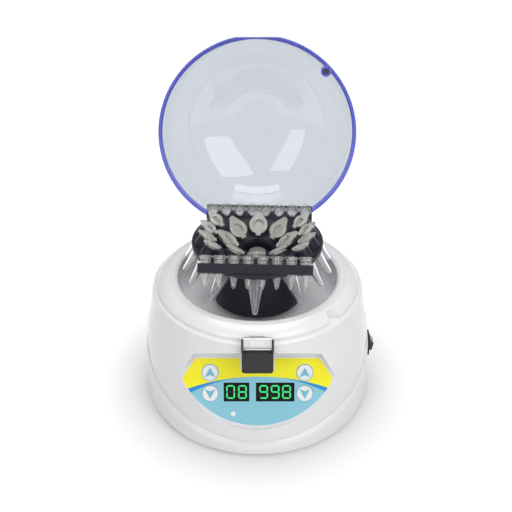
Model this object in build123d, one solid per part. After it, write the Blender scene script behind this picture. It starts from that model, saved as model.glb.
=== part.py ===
"""Mini centrifuge: round bench body, hinged clear lid, front keypad and a mixed tube rotor.

Millimetres and degrees. The origin is the centre of the base underside, on the rotor axis.
+Z is up and the keypad faces -Y. The lid stands open, as in use between runs.
"""
from build123d import *
import os
from math import atan, atan2, cos, degrees, hypot, radians, sin, sqrt

# Fits and gaps
FIT_GAP = 0.04            # round a pin or shaft in its bore
SLIDE_GAP = 0.2           # round a button or a display in its window
LID_GAP = 0.3             # between the closed lid and the housing ledge
REACH = 400.0             # half-space blocks, larger than the object

# Base shell
BASE_R = 77.2
BASE_WALL = 2.6
BASE_FLOOR = 2.5
BASE_BOTTOM_ROUND = 2.5
SPLIT_Z = 43.9            # height of the slanted line on the rotor axis
SPLIT_SLOPE = 0.449       # rise of the line per millimetre towards the rear
LINE_INSET = 4.1          # how far the line lies inside the base side
BASE_EDGE_DROP = 3.8      # height of the rounded top edge of the base
LIP_WIDTH = 2.8           # contact lip of both shells along the line
LIP_DEPTH = 1.6

# Upper housing
HOUSING_INSET = 1.3       # the housing side lies inside the base side
HOUSING_WALL = 2.6
HOUSING_EDGE_RISE = 2.6
TAPER_START_Z = 48.0
TAPER_MID = 0.456         # share of the lean reached half way up
CREST_Z = 85.5
BEVEL = 0.8
LID_OVERHANG = 0.6        # lid rim beyond the crest
STEP_GAP = 0.75           # between the step and the lid rim round it
STEP_HEIGHT = 2.2
PLATEAU_RISE = 8.0        # top of the ring above the crest
RING_WIDTH = 13.8         # from the step in to the round opening
PLATEAU_WIDTH = 6.0
PLATEAU_ROUND = 3.5       # inner edge of the ring's flat top, from the opening
RING_BULGE = 0.6
RING_THICKNESS = 3.1

# Panel recess on the front
PANEL_TILT = 27.0         # how far the panel looks up
PANEL_FOOT_INSET = 3.4    # the panel foot behind the housing side
PANEL_FOOT_Z = 22.1
LABEL_BELLY_R = 54.2
LABEL_TOP_HALF = 40.0
LABEL_TIP_HALF = 49.2
LABEL_TIP_V = 31.3
LABEL_TOP_V = 45.0
LABEL_TIP_ROUND = 8.0
LABEL_NOTCH_HALF = 11.0
LABEL_NOTCH_DEPTH = 8.0
LABEL_THICKNESS = 0.3
RECESS_MARGIN = 1.4
RECESS_LENGTH = 60.0
RECESS_FLARE = 9.0
PANEL_WALL = 2.4
ROOF_OVERHANG = 0.3       # roof edge in front of the crest
ROOF_EDGE_DROP = 1.0      # lower edge of the ring above the recess, below the crest

# Keys, displays and the boards
KEY_R = 5.1
KEY_U = 30.4
KEY_UPPER_V = 35.2
KEY_LOWER_V = 21.6
KEY_PROUD = 1.1
KEY_FLANGE_R = 6.1
KEY_FLANGE = 0.9
KEY_STEM_R = 1.9
KEY_TRAVEL = 0.4
BOARD_DEPTH = 9.0         # from the panel face to the front of the board
BOARD_THICKNESS = 1.6
BOARD_HALF_WIDTH = 35.5
BOARD_LOW_V = 7.5
BOARD_HIGH_V = 43.0
TACT_SIDE = 6.0
TACT_HEIGHT = 3.4
TACT_PLUNGER_R = 1.7
TACT_PLUNGER = 0.6
DISPLAY_V = 22.4
DISPLAY_HEIGHT = 12.2
SPEED_DISPLAY_U = -13.5
SPEED_DISPLAY_WIDTH = 16.3
TIME_DISPLAY_U = 11.4
TIME_DISPLAY_WIDTH = 24.6
LAMP_U = -15.7
LAMP_V = 8.2
LAMP_R = 1.6
BOARD_BOSS_R = 2.6
BOARD_SCREW_R = 1.1

# Chamber bowl
BOWL_SETBACK = 1.5        # inside of the bowl behind the edge of the opening
BOWL_WALL = 1.5
BOWL_FLANGE_WIDTH = 4.5
BOWL_FLANGE_GAP = 0.4     # round the flange, to the housing
BOWL_FLOOR_Z = 71.5
BOWL_ROUND = 9.0
BOWL_HOLE_R = 7.5
BOWL_COLLAR = 2.0
BOWL_SCREW_R = 1.0
BOWL_SCREW_ANGLE = 30.0

# Lid
LID_RIM_R = 70.8
LID_RIM_WIDTH = 2.75
LID_RIM_HEIGHT = 3.9
LID_WALL = 1.9
LID_SIDE_TOP_Z = 104.0
LID_TOP_Z = 142.0
LID_FLAT_R = 14.0
LID_CHORD_INSET = 1.7     # flat on the front of the rim
LID_OPEN = 101.5
CATCH_GAP = 0.7           # round the hook's nose
MAGNET_ANGLE = -43.5
MAGNET_INSET = 4.6
MAGNET_BOSS_R = 3.6
MAGNET_R = 2.25
MAGNET_LENGTH = 2.4

# Hinge
HINGE_SETBACK = 0.1       # axis behind the outside of the lid rim
HINGE_DROP = 3.3          # axis below the housing ledge
HINGE_BOSS_R = 3.0
HINGE_PIN_R = 1.5
TONGUE_HALF = 17.0
LUG_WIDTH = 5.0
HINGE_SIDE_GAP = 0.4
HINGE_BLOCK_DEPTH = 3.4   # of the block in front of the lugs

# Latch
LATCH_HALF = 9.75
LATCH_THICKNESS = 3.0
LATCH_FRONT_GAP = 1.3     # behind the black plate, in front of the crest
LATCH_LOW_Z = 67.5
LATCH_PLATE_TOP_Z = 82.7
LATCH_RAIL = 0.95
LATCH_PIVOT_INSET = 2.7
LATCH_PIVOT_DROP = 1.5
LATCH_PIN_R = 1.0
LATCH_EAR_R = 1.9
LATCH_SLOT_GAP = 0.45
LATCH_CORNER = 2.0
HOOK_THICKNESS = 1.0
HOOK_NOSE_HALF = 4.5
HOOK_SHELF_GAP = 0.3      # between the hook's wide top and the lid
HOOK_BITE = 0.9
LATCH_LUG_WIDTH = 4.8
LATCH_LUG_BACK = 5.1      # behind the pivot
LATCH_LUG_DROP = 8.0      # below the pivot
SPRING_WIRE_R = 0.25
SPRING_R = 1.6
SPRING_PITCH = 1.0
SPRING_TURNS = 5

# Screws, feet and the base fittings
COLUMN_R = 5.0
COLUMN_INSET = 15.2
COLUMN_ANGLE = 25.0
BASE_SCREW_R = 1.5
BASE_SCREW_HEAD_R = 2.9
BASE_SCREW_HEAD = 2.0
BASE_SCREW_GRIP = 12.0    # below the line
BASE_SCREW_BITE = 9.0     # above the line
FOOT_R = 6.0
FOOT_HEIGHT = 2.5
FOOT_SINK = 1.0
FOOT_INSET = 13.2
FOOT_ANGLE = 50.0
SWITCH_ANGLE = 2.0
SWITCH_Z = 32.0
SWITCH_WIDTH = 10.5
SWITCH_HEIGHT = 15.0
SWITCH_CASE_WIDTH = 8.8
SWITCH_CASE_HEIGHT = 13.0
SWITCH_FRAME = 1.3
SWITCH_FLAT = 0.4         # flat for the bezel, cut into the round side
SWITCH_BEZEL = 2.0
SWITCH_BODY_DEPTH = 14.0
SWITCH_ROOM_DEPTH = 6.5
ROCKER_TILT = 12.0
ROCKER_DEPTH = 1.5        # pivot behind the flat
ROCKER_GAP = 1.1          # to the frame above and below
ROCKER_END = 4.4          # height of the ends from the pivot
ROCKER_CROWN = 6.6
JACK_Z = 15.0
JACK_R = 4.0
JACK_FLANGE_R = 5.4
JACK_FLANGE = 1.2
JACK_LENGTH = 12.0
JACK_BORE_R = 2.75
JACK_PIN_R = 1.0
POWER_BOARD_WIDTH = 46.0
POWER_BOARD_LENGTH = 22.0
POWER_BOARD_STAND = 5.0
STAND_R = 2.5
STAND_INSET = 4.0
CAPACITOR_R = 5.0
CAPACITOR_HEIGHT = 12.0
CAPACITOR_PITCH = 10.0
SMALL_CAPACITOR_R = 3.2
REGULATOR_WIDTH = 14.0
REGULATOR_LENGTH = 12.0
REGULATOR_HEIGHT = 9.0
REGULATOR_INSET = 5.0

# Motor
MOTOR_R = 21.0
MOTOR_LOW_Z = 22.0
MOTOR_HEIGHT = 36.0
MOTOR_WALL = 1.5
END_CAP = 3.0
BEARING_R = 5.0
SHAFT_R = 2.5
MOTOR_PLATE = 2.5
MOTOR_PLATE_R = 47.0
PILLAR_PLACE = 30.0
PILLAR_R = 4.5
RUBBER_R = 6.0
RUBBER_HEIGHT = 5.0
MOTOR_SCREW_R = 1.5
MOTOR_SCREW_BITE = 10.0
MOTOR_FACE_SCREW_R = 1.25
MOTOR_FACE_SCREW_PLACE = 12.5
ARMATURE_R = 14.5
ARMATURE_HEIGHT = 20.0
MAGNET_SHELL = 3.0

# Rotor
ROTOR_TURN = -2.2
ROTOR_R = 43.0
ROTOR_Z = 118.7           # top of the flat rim
ROTOR_PLATE = 2.6
ROTOR_FLAT_R = 27.0
DISH_R = 14.0
DISH_DROP = 8.0
WELL_R = 11.0
WELL_DROP = 5.0
WELL_FLOOR = 1.5
SKIRT_TOP_R = 20.0
SKIRT_TOP_DROP = 8.2
SKIRT_LOW_R = 29.9
SKIRT_LOW_Z = 77.5
SKIRT_WALL = 2.5
HUB_R = 9.0
HUB_LOW_Z = 84.0
NUT_R = 5.9
NUT_HEIGHT = 4.2
ADAPTER_R = 5.0
ADAPTER_FLANGE_R = 8.0

# Tubes
LARGE_COUNT = 8
LARGE_TILT = 38.0
LARGE_CAP_PLACE = 18.0
LARGE_CAP_Z = 120.0
LARGE_CAP_R = 6.1
LARGE_CAP_HEIGHT = 3.2
LARGE_R = 5.35
LARGE_LENGTH = 39.8
LARGE_CONE = 21.0
SMALL_TILT = 34.5
SMALL_CAP_PLACE = 31.5
SMALL_CAP_Z = 125.0
SMALL_CAP_R = 4.6
SMALL_CAP_HEIGHT = 2.8
SMALL_R = 3.45
SMALL_LENGTH = 31.0
SMALL_CONE = 17.0
SMALL_STEP = 20.0
STRIP_COUNT = 8
STRIP_PITCH = 9.0
STRIP_PLACE = 30.0
STRIP_Z = 125.0
STRIP_RIM_R = 3.95
STRIP_WELL_R = 2.5
STRIP_WELL = 1.4
STRIP_COLLAR_R = 3.4
STRIP_COLLAR = 5.3        # from the rim top to the holder
STRIP_R = 3.1
STRIP_LENGTH = 20.7
STRIP_CONE = 11.0
HOLDER_WIDTH = 9.5
HOLDER_HEIGHT = 6.0
HOLDER_END = 4.5          # beyond the last tube's centre
TUBE_GAP = 0.15
SEAT_WALL = 0.5
SEAT_GAP = 0.05

# Values worked out from the sizes above
SPLIT_TILT = atan(SPLIT_SLOPE)
LINE_R = BASE_R - LINE_INSET
HOUSING_R = BASE_R - HOUSING_INSET
CREST_R = LID_RIM_R - LID_OVERHANG
TAPER = HOUSING_R - CREST_R
LEDGE_Z = CREST_Z + BEVEL
LEDGE_R = CREST_R - BEVEL
LID_IN_R = LID_RIM_R - LID_RIM_WIDTH
STEP_R = LID_IN_R - STEP_GAP
OPENING_R = STEP_R - RING_WIDTH
BOWL_R = OPENING_R + BOWL_SETBACK
BOWL_FLANGE_R = BOWL_R + BOWL_WALL + BOWL_FLANGE_WIDTH
CEILING_Z = LEDGE_Z - HOUSING_WALL
STEP_Z = LEDGE_Z + STEP_HEIGHT
PLATEAU_Z = CREST_Z + PLATEAU_RISE
RING_UNDER_Z = PLATEAU_Z - RING_THICKNESS
LID_LOW_Z = LEDGE_Z + LID_GAP
LID_RIM_TOP_Z = LID_LOW_Z + LID_RIM_HEIGHT
LID_SIDE_R = LID_IN_R + LID_WALL
LID_CHORD_Y = -(LID_RIM_R - LID_CHORD_INSET)
HINGE_Y = LID_RIM_R + HINGE_SETBACK
HINGE_Z = LEDGE_Z - HINGE_DROP
LATCH_BACK_Y = -(CREST_R + LATCH_FRONT_GAP)
LATCH_FRONT_Y = LATCH_BACK_Y - LATCH_THICKNESS
LATCH_PIVOT_Y = -(CREST_R - LATCH_PIVOT_INSET)
LATCH_PIVOT_Z = CREST_Z - LATCH_PIVOT_DROP
CATCH_LOW_Z = LID_RIM_TOP_Z - 0.1
HOOK_LOW_Z = CATCH_LOW_Z + 0.4
HOOK_TOP_Z = HOOK_LOW_Z + HOOK_THICKNESS
HOOK_TIP_Y = LID_CHORD_Y + HOOK_BITE
SLOT_HALF = LATCH_HALF + LATCH_SLOT_GAP
PANEL_FOOT_Y = -(HOUSING_R - PANEL_FOOT_INSET)
PLATE_LOW_Z = MOTOR_LOW_Z + MOTOR_HEIGHT
PLATE_TOP_Z = PLATE_LOW_Z + MOTOR_PLATE
PILLAR_TOP_Z = PLATE_LOW_Z - RUBBER_HEIGHT
DISH_Z = ROTOR_Z - DISH_DROP
WELL_Z = DISH_Z - WELL_DROP


# Helpers

def disc(radius, low, high, x=0.0, y=0.0):
    """Upright cylinder between two heights."""
    body = Cylinder(radius, high - low, align=(Align.CENTER, Align.CENTER, Align.MIN))
    return Pos(x, y, low) * body


def block(x_low, x_high, y_low, y_high, z_low, z_high):
    """Box between two corners."""
    size = (x_high - x_low, y_high - y_low, z_high - z_low)
    return Pos(x_low, y_low, z_low) * Box(*size, align=(Align.MIN, Align.MIN, Align.MIN))


def rod_x(radius, half_length, y, z):
    """Cylinder along X, centred on the middle plane."""
    return Pos(0, y, z) * Rot(0, 90, 0) * Cylinder(radius, 2 * half_length)


def turned(*edges):
    """Solid of revolution about Z from a closed outline of edges in radius and height."""
    return revolve(Plane.XZ * make_face(list(edges)), Axis.Z)


def turned_points(*points):
    """Solid of revolution about Z from corner points in radius and height."""
    return revolve(Plane.XZ * make_face(Polyline(*points, close=True)), Axis.Z)


def around(radius, angles):
    """Centres on a circle."""
    return [(radius * cos(radians(a)), radius * sin(radians(a))) for a in angles]


def four_angles(angle):
    """The same angle either side of +X and -X."""
    return (angle, 180 - angle, 180 + angle, 360 - angle)


def joined(parts):
    """One compound of separate solids."""
    solids = []
    for part in parts:
        solids.extend(part.solids())
    return Compound(children=solids)


# The slanted line between the shells

def split_plane(rise=0.0):
    normal = (0, -sin(SPLIT_TILT), cos(SPLIT_TILT))
    return Plane(origin=(0, 0, SPLIT_Z + rise), x_dir=(1, 0, 0), z_dir=normal)


def split_height(y):
    return SPLIT_Z + SPLIT_SLOPE * y


def above_split(rise=0.0):
    return extrude(split_plane(rise) * Rectangle(REACH, REACH), REACH)


def below_split(rise=0.0):
    return extrude(split_plane(rise) * Rectangle(REACH, REACH), -REACH)


def rounded_edge_core(side_r, height):
    """What is left inside a shell edge that rounds in from its side to the line."""
    sections = []
    for share in (0.0, 0.25, 0.6, 1.0):
        inward = 1 - sqrt(1 - (1 - share) ** 2)
        radius = side_r - (side_r - LINE_R) * inward
        sections.append(split_plane(height * share) * Ellipse(radius, radius / cos(SPLIT_TILT)))
    return loft(sections)


# The panel in the front recess

def panel_plane(out=0.0):
    """Plane of the panel face, moved out along its normal; local Y runs up the panel."""
    tilt = radians(PANEL_TILT)
    origin = (0, PANEL_FOOT_Y - out * cos(tilt), PANEL_FOOT_Z + out * sin(tilt))
    return Plane(origin=origin, x_dir=(1, 0, 0), z_dir=(0, -cos(tilt), sin(tilt)))


def panel_point(v, out=0.0):
    """Y and Z of a point on the panel's middle line."""
    tilt = radians(PANEL_TILT)
    y = PANEL_FOOT_Y + v * sin(tilt) - out * cos(tilt)
    z = PANEL_FOOT_Z + v * cos(tilt) + out * sin(tilt)
    return y, z


def panel_block(u, v, width, height, low, high):
    """Box square to the panel, centred on u and v, from low to high along the normal."""
    return extrude(panel_plane(low) * Pos(u, v) * Rectangle(width, height), high - low)


def panel_rod(u, v, radius, low, high):
    """Cylinder square to the panel."""
    return extrude(panel_plane(low) * Pos(u, v) * Circle(radius), high - low)


def label_outline(margin=0.0):
    """Shield-shaped outline: round belly, rounded side tips, flat top."""
    lean = (LABEL_TIP_HALF - LABEL_TOP_HALF) / (LABEL_TOP_V - LABEL_TIP_V)
    side = margin * hypot(1, lean)
    top_v = LABEL_TOP_V + 1.5 * margin
    top_half = LABEL_TOP_HALF + side - lean * 1.5 * margin
    low_half = top_half + lean * (top_v + LABEL_BELLY_R)
    corners = [(-top_half, top_v), (top_half, top_v), (low_half, -LABEL_BELLY_R), (-low_half, -LABEL_BELLY_R)]
    belly = Pos(0, LABEL_BELLY_R) * Circle(LABEL_BELLY_R + margin)
    outline = belly & make_face(Polyline(*corners, close=True))
    tips = outline.vertices().sort_by(Axis.Y)[:2]
    return fillet(tips, LABEL_TIP_ROUND)


def roof_plane(shift=0.0):
    """Overhanging face above the panel, from the panel top out to the ring's lower edge."""
    top_y, top_z = panel_point(LABEL_TOP_V + 1.5 * RECESS_MARGIN)
    run = -(CREST_R + ROOF_OVERHANG) - top_y
    rise = CREST_Z - ROOF_EDGE_DROP - top_z
    length = hypot(run, rise)
    normal_y = rise / length
    normal_z = -run / length
    origin = (0, top_y + shift * normal_y, top_z + shift * normal_z)
    return Plane(origin=origin, x_dir=(1, 0, 0), z_dir=(0, normal_y, normal_z))


def recess_space(wall=0.0):
    """Room in front of the panel; a wall moves each face of it outwards."""
    near = panel_plane(-wall) * label_outline(RECESS_MARGIN + wall)
    far = panel_plane(RECESS_LENGTH) * label_outline(RECESS_MARGIN + wall + RECESS_FLARE)
    room = loft([near, far], ruled=True)
    return room & extrude(roof_plane(wall) * Rectangle(REACH, REACH), -REACH)


KEYS = {
    "button_speed_up": (-KEY_U, KEY_UPPER_V),
    "button_speed_down": (-KEY_U, KEY_LOWER_V),
    "button_time_up": (KEY_U, KEY_UPPER_V),
    "button_time_down": (KEY_U, KEY_LOWER_V),
}
BOARD_BOSSES = [(-26.0, 12.0), (26.0, 12.0), (-19.0, 39.5), (19.0, 39.5)]
COLUMNS = around(BASE_R - COLUMN_INSET, four_angles(COLUMN_ANGLE))
FEET = around(BASE_R - FOOT_INSET, four_angles(FOOT_ANGLE))
PILLARS = [(x, y) for x in (-PILLAR_PLACE, PILLAR_PLACE) for y in (-PILLAR_PLACE, PILLAR_PLACE)]
BOWL_SCREWS = around((BOWL_R + BOWL_WALL + BOWL_FLANGE_R) / 2, four_angles(BOWL_SCREW_ANGLE))
MAGNET_X, MAGNET_Y = around(LID_RIM_R - MAGNET_INSET, (MAGNET_ANGLE,))[0]


def switch_frame(out=0.0):
    """Plane on the flat of the right side: local X is level, local Y is up, normal outwards."""
    turn = radians(SWITCH_ANGLE)
    radius = BASE_R - SWITCH_FLAT + out
    origin = (radius * cos(turn), radius * sin(turn), SWITCH_Z)
    return Plane(origin=origin, x_dir=(-sin(turn), cos(turn), 0), z_dir=(cos(turn), sin(turn), 0))


def switch_block(width, height, low, high):
    return extrude(switch_frame(low) * Rectangle(width, height), high - low)


def jack_rod(radius, low, high):
    """Cylinder along Y at the jack's height."""
    return Pos(0, low, JACK_Z) * Rot(-90, 0, 0) * Cylinder(
        radius, high - low, align=(Align.CENTER, Align.CENTER, Align.MIN))


# Shells

def make_base_shell():
    low_body = disc(BASE_R, 0, split_height(BASE_R) + 1)
    low_body = fillet(low_body.edges().sort_by(Axis.Z)[0], BASE_BOTTOM_ROUND)
    shell = (low_body & below_split(-BASE_EDGE_DROP)) + rounded_edge_core(BASE_R, -BASE_EDGE_DROP)
    top = split_height(BASE_R) + 1
    room = disc(BASE_R - BASE_WALL, BASE_FLOOR, top) & below_split(-BASE_EDGE_DROP - LIP_DEPTH)
    room += disc(LINE_R - LIP_WIDTH, BASE_FLOOR, top)
    shell -= room
    for x, y in COLUMNS:
        line = split_height(y)
        column = disc(COLUMN_R, BASE_FLOOR / 2, line + COLUMN_R, x, y) & below_split()
        shell += column
        shell -= disc(BASE_SCREW_HEAD_R + SLIDE_GAP, -1, line - BASE_SCREW_GRIP, x, y)
        shell -= disc(BASE_SCREW_R + FIT_GAP, 0, line + COLUMN_R, x, y)
    for x, y in PILLARS:
        shell += disc(PILLAR_R, BASE_FLOOR / 2, PILLAR_TOP_Z, x, y)
        shell -= disc(MOTOR_SCREW_R + FIT_GAP, PILLAR_TOP_Z - MOTOR_SCREW_BITE - 2, PILLAR_TOP_Z + 1, x, y)
    for x, y in FEET:
        shell -= disc(FOOT_R + 0.1, -1, FOOT_SINK, x, y)
    for x, y in power_board_stands():
        shell += disc(STAND_R, BASE_FLOOR / 2, BASE_FLOOR + POWER_BOARD_STAND, x, y)
    shell -= switch_block(SWITCH_WIDTH + 0.2, SWITCH_HEIGHT + 0.2, 0, 10)
    shell -= switch_block(SWITCH_CASE_WIDTH + SLIDE_GAP, SWITCH_CASE_HEIGHT + SLIDE_GAP, -8, 1)
    shell -= jack_rod(JACK_FLANGE_R + 0.1, BASE_R - SWITCH_FLAT, BASE_R + 5)
    shell -= jack_rod(JACK_R + 0.05, BASE_R - 8, BASE_R + 5)
    return shell


def housing_side(inset, low_z):
    """Side of the housing, leaning in towards the crest."""
    start = (HOUSING_R - inset, TAPER_START_Z)
    middle = (HOUSING_R - inset - TAPER * TAPER_MID, (TAPER_START_Z + low_z) / 2)
    end = (HOUSING_R - inset - TAPER * (low_z - TAPER_START_Z) / (CREST_Z - TAPER_START_Z), low_z)
    return Spline(start, middle, end, tangents=[(0, 1), (-TAPER, CREST_Z - TAPER_START_Z)])


def housing_outer():
    """The housing's outside as one full solid, before it is hollowed and cut."""
    side = housing_side(0, CREST_Z)
    plateau_out = OPENING_R + PLATEAU_WIDTH
    plateau_in = OPENING_R + PLATEAU_ROUND
    mid = ((STEP_R + plateau_out) / 2 + RING_BULGE, (STEP_Z + PLATEAU_Z) / 2 + RING_BULGE)
    return turned(
        Line((0, 0), (HOUSING_R, 0)),
        Line((HOUSING_R, 0), (HOUSING_R, TAPER_START_Z)),
        side,
        Line((CREST_R, CREST_Z), (LEDGE_R, LEDGE_Z)),
        Line((LEDGE_R, LEDGE_Z), (STEP_R, LEDGE_Z)),
        Line((STEP_R, LEDGE_Z), (STEP_R, STEP_Z)),
        ThreePointArc((STEP_R, STEP_Z), mid, (plateau_out, PLATEAU_Z)),
        Line((plateau_out, PLATEAU_Z), (plateau_in, PLATEAU_Z)),
        ThreePointArc((plateau_in, PLATEAU_Z), (OPENING_R + 1.1, PLATEAU_Z - 0.45),
                      (OPENING_R, PLATEAU_Z - 1.3)),
        Line((OPENING_R, PLATEAU_Z - 1.3), (0, PLATEAU_Z - 1.3)),
        Line((0, PLATEAU_Z - 1.3), (0, 0)),
    )


def housing_room():
    """The space inside the housing, with the round opening through its top."""
    side = housing_side(HOUSING_WALL, CEILING_Z)
    side_end = side @ 1
    in_r = STEP_R - HOUSING_WALL
    seat_r = BOWL_FLANGE_R + BOWL_FLANGE_GAP
    top = PLATEAU_Z + 5
    room = turned(
        Line((0, 0), (HOUSING_R - HOUSING_WALL, 0)),
        Line((HOUSING_R - HOUSING_WALL, 0), (HOUSING_R - HOUSING_WALL, TAPER_START_Z)),
        side,
        Line((side_end.X, CEILING_Z), (in_r, CEILING_Z)),
        Line((in_r, CEILING_Z), (in_r, RING_UNDER_Z - 2.4)),
        Line((in_r, RING_UNDER_Z - 2.4), (seat_r, RING_UNDER_Z)),
        Line((seat_r, RING_UNDER_Z), (OPENING_R, RING_UNDER_Z)),
        Line((OPENING_R, RING_UNDER_Z), (OPENING_R, top)),
        Line((OPENING_R, top), (0, top)),
        Line((0, top), (0, 0)),
    )
    reach = above_split(HOUSING_EDGE_RISE + LIP_DEPTH) + disc(LINE_R - LIP_WIDTH, -1, top + 1)
    return (room & reach) - recess_space(PANEL_WALL)


def make_upper_housing():
    outer = housing_outer()
    low_edge = rounded_edge_core(HOUSING_R, HOUSING_EDGE_RISE)
    shape = outer & (above_split(HOUSING_EDGE_RISE) + low_edge)
    shell = shape - housing_room()
    inside = []
    for x, y in COLUMNS:
        line = split_height(y)
        top = line + BASE_SCREW_BITE + 3
        angle = degrees(atan2(y, x))
        reach = HOUSING_R - hypot(x, y)
        inside.append(disc(COLUMN_R, line - COLUMN_R, top, x, y))
        rib = Box(reach, 3, top - line, align=(Align.MIN, Align.CENTER, Align.MIN))
        inside.append(Pos(x, y, line) * Rot(0, 0, angle) * rib)
    lug_half = SLOT_HALF + LATCH_LUG_WIDTH
    lug_back = LATCH_PIVOT_Y + LATCH_LUG_BACK
    lug_low = LATCH_PIVOT_Z - LATCH_LUG_DROP
    inside.append(block(-lug_half, lug_half, -REACH, lug_back, lug_low, LEDGE_Z))
    pad = disc(MAGNET_BOSS_R + 2.9, CEILING_Z, RING_UNDER_Z, MAGNET_X, MAGNET_Y)
    inside.append(pad - disc(BOWL_FLANGE_R + BOWL_FLANGE_GAP, 0, PLATEAU_Z))
    for piece in inside:
        shell += piece & shape
    shell += hinge_block()
    shell -= hinge_pocket()
    shell -= recess_space()
    for u, v in BOARD_BOSSES:
        shell += panel_rod(u, v, BOARD_BOSS_R, -BOARD_DEPTH, -PANEL_WALL / 2)
        shell -= panel_rod(u, v, BOARD_SCREW_R + FIT_GAP, -BOARD_DEPTH - 1, -BOARD_DEPTH + 5)
    shell -= panel_windows(1.0)
    slot_back = LATCH_PIVOT_Y + LATCH_EAR_R + LATCH_SLOT_GAP
    shell -= block(-SLOT_HALF, SLOT_HALF, -REACH, slot_back, LATCH_LOW_Z, LEDGE_Z + 0.2)
    shell -= rod_x(LATCH_PIN_R + FIT_GAP, SLOT_HALF + LATCH_LUG_WIDTH - 1.3, LATCH_PIVOT_Y, LATCH_PIVOT_Z)
    shell -= disc(MAGNET_BOSS_R + 0.7, LEDGE_Z, PLATEAU_Z, MAGNET_X, MAGNET_Y)
    for x, y in COLUMNS:
        line = split_height(y)
        shell -= disc(BASE_SCREW_R + FIT_GAP, line - COLUMN_R, line + BASE_SCREW_BITE + 1, x, y)
    for x, y in BOWL_SCREWS:
        shell -= disc(BOWL_SCREW_R + FIT_GAP, RING_UNDER_Z - 1, RING_UNDER_Z + 2.1, x, y)
    return shell


def hinge_block():
    """Two lugs behind the ring on one block that stands on the line."""
    half = TONGUE_HALF + HINGE_SIDE_GAP + LUG_WIDTH
    wall_y = HINGE_Y - HINGE_BOSS_R - HINGE_BLOCK_DEPTH
    foot = block(-half, half, wall_y, HINGE_Y + HINGE_BOSS_R, split_height(wall_y) - 5, HINGE_Z)
    back = block(-half, half, wall_y, HINGE_Y, HINGE_Z - 1, LEDGE_Z)
    lugs = foot + back + rod_x(HINGE_BOSS_R, half, HINGE_Y, HINGE_Z)
    lugs -= block(-half, half, HINGE_Y, HINGE_Y + HINGE_BOSS_R + 1, HINGE_Z + HINGE_BOSS_R - 0.01, LEDGE_Z + 1)
    return (lugs & above_split()) - rod_x(HINGE_PIN_R + FIT_GAP, half + 1, HINGE_Y, HINGE_Z)


def hinge_pocket():
    """Room for the lid's tongue between the lugs."""
    half = TONGUE_HALF + HINGE_SIDE_GAP
    front = HINGE_Y - HINGE_BOSS_R - HINGE_SIDE_GAP
    past = radians(LID_OPEN - 90)
    drop = HINGE_BOSS_R * (1 + sin(past)) / cos(past) + HINGE_SIDE_GAP
    return block(-half, half, front, HOUSING_R + HINGE_BOSS_R, HINGE_Z - drop, PLATEAU_Z + 5)


def panel_windows(out):
    """Holes for keys, displays and the lamp, through the panel wall."""
    low = -PANEL_WALL - 1
    cuts = panel_rod(LAMP_U, LAMP_V, LAMP_R + 0.05, low, out)
    for u, v in KEYS.values():
        cuts += panel_rod(u, v, KEY_R + SLIDE_GAP, low, out)
    for u, width in ((SPEED_DISPLAY_U, SPEED_DISPLAY_WIDTH), (TIME_DISPLAY_U, TIME_DISPLAY_WIDTH)):
        window = (width + SLIDE_GAP, DISPLAY_HEIGHT + SLIDE_GAP)
        cuts += panel_block(u, DISPLAY_V, *window, low, out)
    return cuts


# Panel pieces

def make_panel_overlay():
    film = extrude(panel_plane() * label_outline(), LABEL_THICKNESS)
    notch_v = LABEL_TOP_V - LABEL_NOTCH_DEPTH / 2 + 1
    film -= panel_block(0, notch_v, 2 * LABEL_NOTCH_HALF, LABEL_NOTCH_DEPTH + 2, -1, 1)
    return film - panel_windows(1.0)


def make_display(u, width):
    return panel_block(u, DISPLAY_V, width, DISPLAY_HEIGHT, -BOARD_DEPTH, LABEL_THICKNESS / 2)


def make_indicator_lens():
    pipe = panel_rod(LAMP_U, LAMP_V, LAMP_R, -BOARD_DEPTH, LABEL_THICKNESS + 0.5)
    return fillet(pipe.edges().sort_by(Axis.Y)[0], 0.4)


def make_key(u, v):
    """One key: domed cap, retaining flange behind the panel and a stem to its switch."""
    cap = panel_rod(u, v, KEY_R, -PANEL_WALL - 0.06, KEY_PROUD)
    cap = fillet(cap.edges().sort_by(Axis.Y)[0], 0.6)
    flange = panel_rod(u, v, KEY_FLANGE_R, -PANEL_WALL - 0.05 - KEY_FLANGE, -PANEL_WALL - 0.05)
    stem_low = -BOARD_DEPTH + TACT_HEIGHT + TACT_PLUNGER + KEY_TRAVEL + 0.1
    return cap + flange + panel_rod(u, v, KEY_STEM_R, stem_low, -PANEL_WALL - KEY_FLANGE)


def make_tact_switches():
    switches = []
    for u, v in KEYS.values():
        case_top = -BOARD_DEPTH + TACT_HEIGHT
        case = panel_block(u, v, TACT_SIDE, TACT_SIDE, -BOARD_DEPTH, case_top)
        switches.append(case + panel_rod(u, v, TACT_PLUNGER_R, case_top, case_top + TACT_PLUNGER))
    return joined(switches)


def make_control_board():
    width = 2 * BOARD_HALF_WIDTH
    middle = (BOARD_LOW_V + BOARD_HIGH_V) / 2
    back = -BOARD_DEPTH - BOARD_THICKNESS
    height = BOARD_HIGH_V - BOARD_LOW_V
    board = panel_block(0, middle, width, height, back, -BOARD_DEPTH)
    corner = BOARD_HALF_WIDTH
    cut = panel_block(corner, BOARD_LOW_V, 16, 12, back - 1, -BOARD_DEPTH + 1)
    cut += panel_block(-corner, BOARD_LOW_V, 16, 12, back - 1, -BOARD_DEPTH + 1)
    board -= cut
    board += panel_block(4, middle - 4, 10, 10, back - 1.4, back)
    board += panel_block(-16, middle - 8, 7, 12, back - 5.5, back)
    board += panel_rod(17, middle - 6, 3, back - 6, back)
    for u, v in BOARD_BOSSES:
        board -= panel_rod(u, v, BOARD_SCREW_R + 0.1, back - 1, -BOARD_DEPTH + 1)
    return board


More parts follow.
